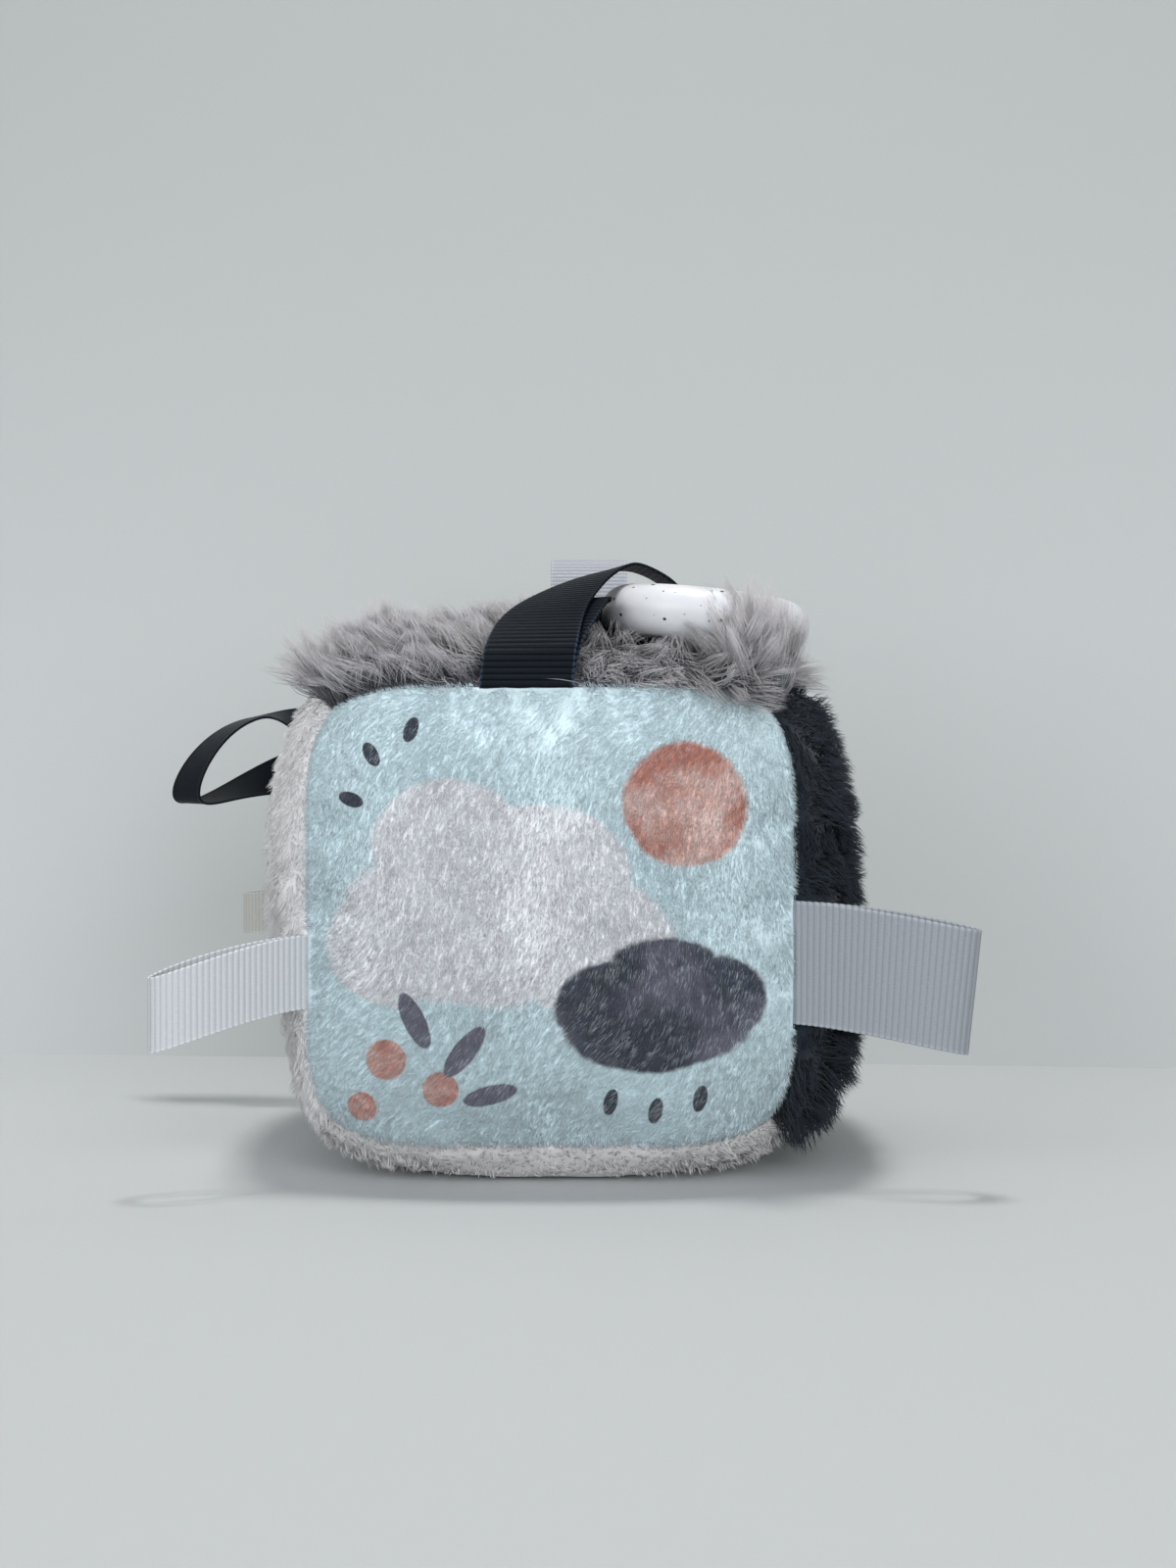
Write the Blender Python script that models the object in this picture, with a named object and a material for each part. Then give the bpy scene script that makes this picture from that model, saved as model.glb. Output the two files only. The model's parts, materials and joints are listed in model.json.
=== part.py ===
"""A soft sensory block: six stuffed fabric panels sewn edge to edge, six folded ribbons sewn into the seams,
and a speckled ring that hangs in one of the ribbons. Metres, +Z up, origin under the block on the table."""

import math
from collections import namedtuple

import bmesh
import bpy
from mathutils import Matrix, Vector
from mathutils.geometry import intersect_point_line

# The block, measured from seam to seam
BLOCK_WIDTH = 0.099
BLOCK_DEPTH = 0.100
BLOCK_HEIGHT = 0.093
SEAM_LIFT = 0.009
CORNER_DRAW = 0.005
CORNER_POWER = 6
PANEL_STEPS = 10
EVEN_SHARE = 0.15

# How far the stuffing swells each panel past its seams
FRONT_CROWN = 0.010
BACK_CROWN = 0.010
SIDE_CROWN = 0.012
TOP_CROWN = 0.0117
BASE_CROWN = 0.014
CROWN_POWER = 0.65
SAG_SHARE = 0.10

# Cloth, and how it is turned in at the seams
PLUSH_THICKNESS = 0.0025
FUR_THICKNESS = 0.0045
ALLOWANCE_DEPTH = 0.008
ALLOWANCE_THICKNESS = 0.0016
TURN_SHARE = 1.5
CLEARANCE = 0.0003
STUFFING_EASE = 0.0009

# The fur's main body, and how it lies low round the ring, its ribbon and the standing tab
FUR_HEIGHT = 0.0085
FUR_OVERHANG = 0.005
FUR_ROUND_POWER = 0.2
OVERHANG_POWER = 5
FUR_PRESSED = 0.004
FUR_SLOPE = 0.010
TAB_ROOM = 0.004

# All ribbons
RIBBON_THICKNESS = 0.0005
ENDS_SHORT_OF_ALLOWANCE = 0.0008
POCKET_OVERRUN = 0.004
NOSE_STEPS = 4
MERGED_STATIONS = 2
TAB_STATIONS = 26
BELLY_POWER = 0.7
DROP_POWER = 1.5

# The white tab in the front left seam
WHITE_TAB_WIDTH = 0.015
WHITE_TAB_LENGTH = 0.031
WHITE_TAB_BELLY = 0.0058
WHITE_TAB_PLACE = -0.0115
WHITE_TAB_DROP = 0.0075
WHITE_TAB_SWING = math.radians(-25)

# The silver tab in the front right seam
SILVER_TAB_WIDTH = 0.025
SILVER_TAB_LENGTH = 0.035
SILVER_TAB_BELLY = 0.0056
SILVER_TAB_PLACE = -0.0096
SILVER_TAB_DROP = 0.0052
SILVER_TAB_SWING = math.radians(33)
SILVER_TAB_LEAN = math.radians(-6)

# The grey tab that stands in the top back seam
GREY_TAB_WIDTH = 0.019
GREY_TAB_LENGTH = 0.035
GREY_TAB_BELLY = 0.0056
GREY_TAB_PLACE = 0.0077
GREY_TAB_SWING = math.radians(35)

# The small taupe tab, low in the back left seam
TAUPE_TAB_WIDTH = 0.010
TAUPE_TAB_LENGTH = 0.029
TAUPE_TAB_BELLY = 0.0054
TAUPE_TAB_PLACE = -0.0050
TAUPE_TAB_DROP = 0.002
TAUPE_TAB_SWING = math.radians(38)

# The black loop, high in the back left seam
SIDE_LOOP_WIDTH = 0.012
SIDE_LOOP_LENGTH = 0.0447
SIDE_LOOP_BELOW_TOP = 0.0165
SIDE_LOOP_OPENING = 0.0105
SIDE_LOOP_RISE = 0.006
SIDE_LOOP_DROP = 0.007
SIDE_LOOP_SPREAD = 0.005
SIDE_LOOP_SWING = math.radians(38)
SIDE_LOOP_LEAN = math.radians(50)
SIDE_LOOP_STATIONS = 32
LOWER_TWIST_SHARE = 1.0
UPPER_TWIST_SHARE = 0.6
OPENING_POWER = 0.5
SAG_POWER = 2.5

# The ring, and where it lies on the fur
RING_RADIUS = 0.017
RING_TUBE_RADIUS = 0.0055
RING_STEPS = 28
TUBE_STEPS = 12
RING_REACH = 0.0360
RING_INSET = 0.028
RING_TILT = math.radians(6)
WRAP_ANGLE = math.radians(5)
FUR_SAMPLES = 60

# The black ribbon that holds the ring
RING_RIBBON_WIDTH = 0.019
RING_RIBBON_PLACE = -0.005
RING_RIBBON_SWING = math.radians(-31)
RING_RIBBON_STATIONS = 39
HOLE_FILL_SHARE = 0.70
LOOP_GAP = 0.0016
TURN_OUT_SHARE = 0.42
TURN_BACK_SHARE = 0.30

# The ribbon's way to the ring and back: shares of the rise across, back and up, then of the loop's radius
# around the tube, upwards and into the ring
OUTWARD_SHARES = (
    (0.05, -0.02, 0.45, 0, 0),
    (0.18, 0.34, 0.90, 0, 0),
    (0.44, 0.74, 1, 0.46, 0),
    (0.76, 0.97, 1, 0.88, 0),
    (1, 1, 1, 0.96, 0.12),
    (1, 1, 1, 0.62, 0.88),
    (1, 1, 1, -0.05, 1.09),
    (1, 1, 1, -0.60, 0.62),
)
UNDER_OUT_SHARE = 0.10
HOMEWARD_SHARES = (
    (0.64, 0.82, 0.76),
    (0.32, 0.48, 0.70),
    (0.05, 0.12, 0.44),
)

UP = Vector((0, 0, 1))
RIGHT = Vector((1, 0, 0))
REARWARD = Vector((0, 1, 0))

HALF = Vector((BLOCK_WIDTH / 2, BLOCK_DEPTH / 2, BLOCK_HEIGHT / 2))
CENTRE = UP * (SEAM_LIFT + HALF.z)
HINGE_STANDOFF = RIBBON_THICKNESS + CLEARANCE
TURN_INSET = TURN_SHARE * ALLOWANCE_THICKNESS
DIAGONAL = math.sqrt(2)

BLACK = (0.012, 0.014, 0.018)
PLUSH_ROUGHNESS = 0.9
RIBBON_ROUGHNESS = 0.6
RING_ROUGHNESS = 0.35
SHARP_ANGLE = math.radians(40)

Panel = namedtuple("Panel", "across along outward crown thickness sag colour")
PANELS = {
    "front_panel": Panel(RIGHT, UP, -REARWARD, FRONT_CROWN, PLUSH_THICKNESS, SAG_SHARE, (0.40, 0.52, 0.56)),
    "back_panel": Panel(-RIGHT, UP, REARWARD, BACK_CROWN, PLUSH_THICKNESS, SAG_SHARE, (0.50, 0.49, 0.50)),
    "left_panel": Panel(-REARWARD, UP, -RIGHT, SIDE_CROWN, PLUSH_THICKNESS, SAG_SHARE, (0.52, 0.49, 0.50)),
    "right_panel": Panel(REARWARD, UP, RIGHT, SIDE_CROWN, PLUSH_THICKNESS, SAG_SHARE, (0.02, 0.025, 0.033)),
    "top_fur_panel": Panel(RIGHT, REARWARD, UP, TOP_CROWN, FUR_THICKNESS, 0, (0.25, 0.24, 0.25)),
    "bottom_panel": Panel(RIGHT, -REARWARD, -UP, BASE_CROWN, PLUSH_THICKNESS, 0, (0.46, 0.44, 0.44)),
}

Tab = namedtuple("Tab", "panels place width length belly swing drop lean colour")
TABS = {
    "white_tab": Tab(
        ("front_panel", "left_panel"), WHITE_TAB_PLACE, WHITE_TAB_WIDTH, WHITE_TAB_LENGTH, WHITE_TAB_BELLY,
        WHITE_TAB_SWING, WHITE_TAB_DROP, 0, (0.70, 0.72, 0.76)),
    "silver_tab": Tab(
        ("front_panel", "right_panel"), SILVER_TAB_PLACE, SILVER_TAB_WIDTH, SILVER_TAB_LENGTH, SILVER_TAB_BELLY,
        SILVER_TAB_SWING, SILVER_TAB_DROP, SILVER_TAB_LEAN, (0.26, 0.28, 0.30)),
    "grey_top_tab": Tab(
        ("back_panel", "top_fur_panel"), GREY_TAB_PLACE, GREY_TAB_WIDTH, GREY_TAB_LENGTH, GREY_TAB_BELLY,
        GREY_TAB_SWING, 0, 0, (0.27, 0.28, 0.31)),
    "taupe_tab": Tab(
        ("back_panel", "left_panel"), TAUPE_TAB_PLACE, TAUPE_TAB_WIDTH, TAUPE_TAB_LENGTH, TAUPE_TAB_BELLY,
        TAUPE_TAB_SWING, TAUPE_TAB_DROP, 0, (0.36, 0.36, 0.35)),
}


def clear_scene():
    """Empties the scene that Blender starts with."""
    for thing in list(bpy.data.objects):
        bpy.data.objects.remove(thing)


def smooth(share):
    """Eases a share from 0 to 1."""
    share = max(0, min(1, share))
    return share * share * (3 - 2 * share)


def plain_material(name, colour, roughness=PLUSH_ROUGHNESS):
    """A plain finish in the colour of the real cloth, ribbon or ring."""
    material = bpy.data.materials.new(name)
    material.use_nodes = True
    shader = material.node_tree.nodes["Principled BSDF"]
    shader.inputs["Base Color"].default_value = (*colour, 1)
    shader.inputs["Roughness"].default_value = roughness
    shader.inputs["Metallic"].default_value = 0
    return material


def add_object(name, mesh_data, material, origin=Vector()):
    """Turns a bmesh into a named object, smooth but with its real edges kept sharp."""
    bmesh.ops.recalc_face_normals(mesh_data, faces=mesh_data.faces)
    mesh = bpy.data.meshes.new(name)
    mesh_data.to_mesh(mesh)
    mesh_data.free()
    mesh.materials.append(material)
    mesh.shade_smooth()
    mesh.set_sharp_from_angle(angle=SHARP_ANGLE)
    made = bpy.data.objects.new(name, mesh)
    made.location = origin
    bpy.context.scene.collection.objects.link(made)
    return made


def hang(child, parent):
    """Parents a piece without moving it."""
    bpy.context.view_layer.update()
    child.parent = parent
    child.matrix_parent_inverse = parent.matrix_world.inverted()


def extent(direction):
    """Half the seam box, measured along one of its axes."""
    return HALF.dot(Vector(map(abs, direction)))


def grid_values():
    """Panel coordinates from -1 to 1, closer together near the seams where the cloth turns."""
    even = [2 * i / PANEL_STEPS - 1 for i in range(PANEL_STEPS + 1)]
    return [EVEN_SHARE * value + (1 - EVEN_SHARE) * math.sin(math.pi / 2 * value) for value in even]


def panel_point(name, u, v, depth=0, inset=0):
    """A point of the panel's surface, as (across, along, outward) from the block's centre. The inner surface
    is drawn the same way, with a lower crown and a rim that is set in. The base is pressed flat."""
    panel = PANELS[name]
    bow_u, bow_v = 1 - abs(v) ** CORNER_POWER, 1 - abs(u) ** CORNER_POWER
    low = v + panel.sag * (1 - v * v)
    swell = max(0, (1 - u * u) * (1 - low * low)) ** CROWN_POWER
    seam_height = extent(panel.outward) - CORNER_DRAW * abs(u * v) ** CORNER_POWER
    height = seam_height + (panel.crown - depth) * swell
    if panel.outward == -UP:
        height = min(height, extent(UP) + SEAM_LIFT - depth)
    return Vector((
        (extent(panel.across) - CORNER_DRAW - inset) * u + CORNER_DRAW * bow_u * u ** 3,
        (extent(panel.along) - CORNER_DRAW - inset) * v + CORNER_DRAW * bow_v * v ** 3,
        height,
    ))


def line_distance(spot, start, end):
    """How far a point lies from the line between two others."""
    _, share = intersect_point_line(spot, start, end)
    return (spot - start.lerp(end, max(0, min(1, share)))).length


def fur_room(spot):
    """How far a place on the top panel lies from the ring, its ribbon or the standing tab."""
    ring = Vector((RING_RIBBON_PLACE + RING_REACH, RING_INSET - HALF.y, 0))
    ribbon_root = Vector((RING_RIBBON_PLACE, -HALF.y, 0))
    tab_root = Vector((GREY_TAB_PLACE, HALF.y, 0))
    tab_half = RIGHT * (GREY_TAB_WIDTH / 2)
    return min(
        (spot - ring).length - RING_RADIUS - RING_TUBE_RADIUS,
        line_distance(spot, ribbon_root, ring - RIGHT * RING_RADIUS) - RING_RIBBON_WIDTH / 2,
        line_distance(spot, tab_root - tab_half, tab_root + tab_half) - TAB_ROOM,
    )


def fur_point(u, v):
    """A point of the fur's main body: it stands on the top panel, overhangs the seams and is pressed in places."""
    cloth = panel_point("top_fur_panel", u, v)
    free = smooth((fur_room(Vector((cloth.x, cloth.y, 0))) - FUR_PRESSED) / FUR_SLOPE)
    rise = FUR_HEIGHT * ((1 - u * u) * (1 - v * v)) ** FUR_ROUND_POWER
    overhang = Vector((u ** OVERHANG_POWER, v ** OVERHANG_POWER, 0)) * FUR_OVERHANG
    return cloth + (overhang + UP * rise) * free


def to_block(name, local):
    """Local panel coordinates to a point of the block."""
    panel = PANELS[name]
    return CENTRE + panel.across * local.x + panel.along * local.y + panel.outward * local.z


def rim_sides(i, j):
    """Which rims a grid point lies on: -1, 0 or 1 across and along."""
    sides = {0: -1, PANEL_STEPS: 1}
    return sides.get(i, 0), sides.get(j, 0)


def rim_keys():
    """The grid indices round the panel's rim, in order."""
    last = PANEL_STEPS
    keys = [(i, 0) for i in range(last)] + [(last, j) for j in range(last)]
    return keys + [(i, last) for i in range(last, 0, -1)] + [(0, j) for j in range(last, 0, -1)]


def rim_loops(name):
    """The panel's rim from the seam to the end of its turned-in edge, as four loops of local points."""
    values = grid_values()
    loops = {"seam": {}, "end_outer": {}, "end_inner": {}, "inside": {}}
    for i, j in rim_keys():
        side_u, side_v = rim_sides(i, j)
        u, v = values[i], values[j]
        off_seam_plane = Vector((-side_u, -side_v, 1)) / DIAGONAL
        seam = panel_point(name, u, v) + off_seam_plane * (CLEARANCE / 2)
        end = seam - Vector((u, v, 1)) * (ALLOWANCE_DEPTH / DIAGONAL)
        loops["seam"][i, j] = seam
        loops["end_outer"][i, j] = end
        loops["end_inner"][i, j] = end + off_seam_plane * ALLOWANCE_THICKNESS
        loops["inside"][i, j] = panel_point(name, u, v, PANELS[name].thickness, TURN_INSET)
    return loops


def fill_grid(mesh_data, name, rim, depth=0, inset=0):
    """Fills a rim with a surface of four-sided faces, drawn at a depth below the panel's outside."""
    vertices = dict(rim)
    furry = name == "top_fur_panel" and depth == 0
    for i, u in enumerate(grid_values()):
        for j, v in enumerate(grid_values()):
            if (i, j) not in rim:
                point = fur_point(u, v) if furry else panel_point(name, u, v, depth, inset)
                vertices[i, j] = mesh_data.verts.new(to_block(name, point))
    for i in range(PANEL_STEPS):
        for j in range(PANEL_STEPS):
            mesh_data.faces.new([vertices[key] for key in ((i, j), (i + 1, j), (i + 1, j + 1), (i, j + 1))])


def loop_faces(mesh_data, first, second):
    """Joins two loops of vertices, keyed by grid index, with a band of faces."""
    keys = rim_keys()
    for here, there in zip(keys, keys[1:] + keys[:1]):
        mesh_data.faces.new((first[here], first[there], second[there], second[here]))


def make_panel(name):
    """One panel of cloth: crowned outside and inside, its edges turned in along the seam planes."""
    panel = PANELS[name]
    mesh_data = bmesh.new()
    rims = {
        level: {key: mesh_data.verts.new(to_block(name, point)) for key, point in points.items()}
        for level, points in rim_loops(name).items()
    }
    fill_grid(mesh_data, name, rims["seam"])
    fill_grid(mesh_data, name, rims["inside"], panel.thickness, TURN_INSET)
    loop_faces(mesh_data, rims["seam"], rims["end_outer"])
    loop_faces(mesh_data, rims["end_outer"], rims["end_inner"])
    loop_faces(mesh_data, rims["end_inner"], rims["inside"])
    return add_object(name, mesh_data, plain_material(name, panel.colour))


def make_stuffing():
    """The fibre filling: it follows the panels inside and is grooved where their turned-in edges reach in."""
    mesh_data = bmesh.new()
    floors = {}
    for name, panel in PANELS.items():
        loops = rim_loops(name)
        lips, feet = {}, {}
        for i, j in rim_keys():
            side_u, side_v = rim_sides(i, j)
            inwards = Vector((-side_u, -side_v, 0))
            lip = loops["inside"][i, j] + inwards * STUFFING_EASE - UP * CLEARANCE
            foot = loops["end_inner"][i, j] + inwards * (DIAGONAL * CLEARANCE)
            lips[i, j] = mesh_data.verts.new(to_block(name, lip))
            feet[i, j] = mesh_data.verts.new(to_block(name, foot))
        fill_grid(mesh_data, name, lips, panel.thickness + CLEARANCE, TURN_INSET + STUFFING_EASE)
        loop_faces(mesh_data, lips, feet)
        floors[name] = feet
    join_groove_floors(mesh_data, floors)
    return add_object("stuffing", mesh_data, plain_material("stuffing", (0.85, 0.85, 0.83)))


def rim_edge(name, vertices, neighbour):
    """The vertices along the side of a panel that faces its neighbour, ordered along the seam."""
    panel, facing = PANELS[name], PANELS[neighbour].outward
    wanted = round(panel.across.dot(facing)), round(panel.along.dot(facing))
    seam = Vector(map(abs, panel.outward.cross(facing)))
    side = 0 if wanted[0] else 1
    found = [vertices[key] for key in vertices if rim_sides(*key)[side] == wanted[side]]
    return sorted(found, key=lambda vertex: vertex.co.dot(seam))


def join_groove_floors(mesh_data, floors):
    """Closes the stuffing's grooves: a strip along each seam and a triangle at each corner."""
    names = list(PANELS)
    corners = {}
    for place, first in enumerate(names):
        for key, vertex in floors[first].items():
            if 0 not in rim_sides(*key):
                corner = tuple(side > 0 for side in vertex.co - CENTRE)
                corners.setdefault(corner, []).append(vertex)
        for second in names[place + 1:]:
            if PANELS[first].outward.dot(PANELS[second].outward) == 0:
                one = rim_edge(first, floors[first], second)
                other = rim_edge(second, floors[second], first)
                for k in range(PANEL_STEPS):
                    mesh_data.faces.new((one[k], one[k + 1], other[k + 1], other[k]))
    for three in corners.values():
        mesh_data.faces.new(three)


def seam_frame(panels, place):
    """The seam between two panels: a point on it, the way along it, and the way straight out of it."""
    outward_a, outward_b = (PANELS[name].outward for name in panels)
    along = Vector(map(abs, outward_a.cross(outward_b)))
    share = place / (extent(along) - CORNER_DRAW)
    drawn = CORNER_DRAW * abs(share) ** CORNER_POWER
    point = CENTRE + along * place
    point += outward_a * (extent(outward_a) - drawn) + outward_b * (extent(outward_b) - drawn)
    return point, along, (outward_a + outward_b).normalized()


def ribbon_walls(stations, reach):
    """The corner points of a ribbon that runs from its root round a loop and back."""
    centres = [centre for centre, _, _ in stations]
    walls = []
    for k, (centre, width, half) in enumerate(stations):
        if k == 0:
            ahead = reach
        elif k == len(stations) - 1:
            ahead = -reach
        else:
            ahead = centres[k + 1] - centres[k - 1]
        normal = ahead.cross(width).normalized() * (RIBBON_THICKNESS / 2)
        walls.append([centre + normal * sign + width * (half * end) for sign in (1, -1) for end in (1, -1)])
    return walls


def rounded_root(stations, reach):
    """The root's half round end, from the ribbon's last outer side back to its first."""
    middle, width, half = stations[0]
    start = middle.normalized() * RIBBON_THICKNESS
    pairs = []
    for step in range(1, NOSE_STEPS):
        turn = math.pi * step / NOSE_STEPS
        point = -start * math.cos(turn) - reach * (RIBBON_THICKNESS * math.sin(turn))
        pairs.append([point + width * (half * end) for end in (1, -1)])
    return pairs


def make_ribbon_loop(name, stations, reach, colour, origin):
    """A folded ribbon as one solid: a rounded root on the hinge line and a loop that stands open."""
    walls = ribbon_walls(stations, reach)
    middle = stations[0][0]
    outside_first = sum(walls[0][:2], Vector()).dot(middle) > 2 * middle.dot(middle)
    outer_pair, inner_pair = ((0, 1), (2, 3)) if outside_first else ((2, 3), (0, 1))
    last = len(walls) - 1
    mesh_data = bmesh.new()

    def pair(points):
        return [mesh_data.verts.new(point) for point in points]

    outer = [pair(wall[n] for n in outer_pair) for wall in walls]
    outer += [pair(points) for points in rounded_root(stations, reach)]
    there, back = walls[MERGED_STATIONS - 1], walls[last - MERGED_STATIONS + 1]
    crotch = pair((there[n] + back[n]) / 2 for n in inner_pair)
    open_stations = range(MERGED_STATIONS, last - MERGED_STATIONS + 1)
    inner = {k: pair(walls[k][n] for n in inner_pair) for k in open_stations}
    for k, here in enumerate(outer):
        following = (k + 1) % len(outer)
        after = outer[following]
        one, two = inner.get(k, crotch), inner.get(following, crotch)
        mesh_data.faces.new((here[0], here[1], after[1], after[0]))
        if one is not two:
            mesh_data.faces.new((one[0], two[0], two[1], one[1]))
        for side in (0, 1):
            corners = [here[side], after[side], two[side], one[side]]
            mesh_data.faces.new(corners if one is not two else corners[:3])
    return add_object(name, mesh_data, plain_material(name, colour, RIBBON_ROUGHNESS), origin)


def slab_mesh(half, along, outward):
    """A thin box that lies in the seam's plane: its half sizes along the seam, across it and outward."""
    mesh_data = bmesh.new()
    bmesh.ops.create_cube(mesh_data, size=2)
    across = outward.cross(along)
    basis = Matrix((along * half.x, across * half.y, outward * half.z)).transposed()
    bmesh.ops.transform(mesh_data, matrix=basis.to_4x4(), verts=mesh_data.verts)
    return mesh_data


def sew_in(name, panels, names, place, width, colour):
    """The ribbon's two ends, lying together between the turned-in edges, and the pocket that they take up."""
    point, along, outward = seam_frame(names, place)
    ends_depth = ALLOWANCE_DEPTH - ENDS_SHORT_OF_ALLOWANCE
    half = Vector((width / 2, RIBBON_THICKNESS, ends_depth / 2))
    ends = slab_mesh(half, along, outward)
    material = plain_material(name + "_ends", colour, RIBBON_ROUGHNESS)
    add_object(name + "_ends", ends, material, point - outward * half.z)
    pocket_depth = ALLOWANCE_DEPTH + 2 * POCKET_OVERRUN
    half = Vector((width / 2 + CLEARANCE, RIBBON_THICKNESS + CLEARANCE, pocket_depth / 2))
    pocket = slab_mesh(half, along, outward)
    middle = point + outward * (POCKET_OVERRUN - half.z)
    cutter = add_object(name + "_pocket", pocket, material, middle)
    cutter.hide_render = True
    cutter.display_type = "WIRE"
    for panel in (panels[panel_name] for panel_name in names):
        cut = panel.modifiers.new(name + "_pocket", "BOOLEAN")
        cut.operation = "DIFFERENCE"
        cut.object = cutter


def tab_stations(tab, along, reach):
    """Stations round a ribbon tab that is pinched at its root and folded at its tip."""
    across = reach.cross(along)
    stations = []
    for k in range(TAB_STATIONS + 1):
        turn = math.tau * k / TAB_STATIONS
        share = (1 - math.cos(turn)) / 2
        sideways = tab.belly * math.sin(turn) * share ** BELLY_POWER
        sideways += RIBBON_THICKNESS / 2 * math.cos(turn / 2)
        centre = reach * (tab.length * share) + across * sideways - UP * (tab.drop * share ** DROP_POWER)
        width = Matrix.Rotation(tab.lean * share, 3, across) @ along
        stations.append((centre, width, tab.width / 2))
    return stations


def make_tab(name, panels):
    """A ribbon tab: its sewn-in ends and the loop that flexes outside the seam."""
    tab = TABS[name]
    point, along, outward = seam_frame(tab.panels, tab.place)
    reach = Matrix.Rotation(tab.swing, 3, along) @ outward
    hinge = point + outward * HINGE_STANDOFF
    make_ribbon_loop(name, tab_stations(tab, along, reach), reach, tab.colour, hinge)
    sew_in(name, panels, tab.panels, tab.place, tab.width, tab.colour)


def side_loop_stations(along, reach):
    """The long loop: it leaves the seam on edge and twists, sooner on its upper strand than on its lower one,
    until it stands open to the front."""
    across = reach.cross(along)
    stations = []
    for k in range(SIDE_LOOP_STATIONS + 1):
        turn = math.tau * k / SIDE_LOOP_STATIONS
        share = (1 - math.cos(turn)) / 2
        twist_share = LOWER_TWIST_SHARE if turn < math.pi else UPPER_TWIST_SHARE
        twist = math.pi / 2 * smooth(share / twist_share)
        lean = SIDE_LOOP_LEAN * share
        forward = -across * math.cos(lean) - reach * math.sin(lean)
        height = SIDE_LOOP_RISE * 4 * share * (1 - share) - SIDE_LOOP_DROP * share ** SAG_POWER
        height -= SIDE_LOOP_OPENING * math.sin(turn) * share ** OPENING_POWER
        apart = SIDE_LOOP_SPREAD * max(0, math.sin(turn)) * (1 - share)
        sideways = RIBBON_THICKNESS / 2 * math.cos(turn / 2) + apart
        centre = reach * (SIDE_LOOP_LENGTH * share) + along * height + across * sideways
        stations.append((centre, forward * math.sin(twist) - along * math.cos(twist), SIDE_LOOP_WIDTH / 2))
    return stations


def make_side_loop(panels):
    """The black loop, high in the back left seam."""
    names = "back_panel", "left_panel"
    place = HALF.z - SIDE_LOOP_BELOW_TOP
    point, along, outward = seam_frame(names, place)
    reach = Matrix.Rotation(SIDE_LOOP_SWING, 3, along) @ outward
    hinge = point + outward * HINGE_STANDOFF
    make_ribbon_loop("black_side_loop", side_loop_stations(along, reach), reach, BLACK, hinge)
    sew_in("black_side_loop", panels, names, place, SIDE_LOOP_WIDTH, BLACK)


def ring_seat():
    """The ring's centre and tilt: it lies along the slope of the fur, on the ribbon that passes under it."""
    tilt = Matrix.Rotation(RING_TILT, 3, REARWARD)
    seat = CENTRE + Vector((RING_RIBBON_PLACE + RING_REACH, RING_INSET - HALF.y, HALF.z))
    touch = RING_TUBE_RADIUS + CLEARANCE + RIBBON_THICKNESS + CLEARANCE
    values = [2 * k / FUR_SAMPLES - 1 for k in range(FUR_SAMPLES + 1)]
    lift = 0
    for u in values:
        for v in values:
            fur = to_block("top_fur_panel", panel_point("top_fur_panel", u, v))
            point = tilt.transposed() @ (fur - seat)
            off = point.xy.length - RING_RADIUS
            if abs(off) < touch:
                lift = max(lift, point.z + math.sqrt(touch ** 2 - off ** 2))
    return seat + tilt @ UP * lift, tilt


def wrap_frame():
    """Where the ribbon holds the ring: the tube's centre there, the way out of the ring, and its upside."""
    centre, tilt = ring_seat()
    out = tilt @ Vector((-math.cos(WRAP_ANGLE), -math.sin(WRAP_ANGLE), 0))
    return centre + out * RING_RADIUS, out, tilt @ UP


def make_ring():
    """The speckled ring, a round tube. Its origin is on the line that it swings about."""
    held, out, up = wrap_frame()
    tangent = up.cross(out)
    mesh_data = bmesh.new()
    rings = []
    for k in range(RING_STEPS):
        turn = math.tau * k / RING_STEPS
        radial = out * math.cos(turn) + tangent * math.sin(turn)
        rings.append([])
        for n in range(TUBE_STEPS):
            round_tube = math.tau * n / TUBE_STEPS
            point = radial * (RING_RADIUS + RING_TUBE_RADIUS * math.cos(round_tube))
            point += up * (RING_TUBE_RADIUS * math.sin(round_tube)) - out * RING_RADIUS
            rings[-1].append(mesh_data.verts.new(point))
    for k, ring in enumerate(rings):
        following = rings[(k + 1) % RING_STEPS]
        for n in range(TUBE_STEPS):
            m = (n + 1) % TUBE_STEPS
            mesh_data.faces.new((ring[n], following[n], following[m], ring[m]))
    material = plain_material("speckled_ring", (0.80, 0.81, 0.84), RING_ROUGHNESS)
    return add_object("speckled_ring", mesh_data, material, held)


def curve_through(points, steps):
    """Points on a smooth curve through the given ones, evenly shared between them."""
    padded = [points[0] * 2 - points[1], *points, points[-1] * 2 - points[-2]]
    line = []
    for k in range(steps + 1):
        at = (len(points) - 1) * k / steps
        n = min(int(at), len(points) - 2)
        t = at - n
        a, b, c, d = padded[n:n + 4]
        bend = (a * 2 - b * 5 + c * 4 - d) * t ** 2 + (b * 3 - a - c * 3 + d) * t ** 3
        line.append((b * 2 + (c - a) * t + bend) / 2)
    return line


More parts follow.
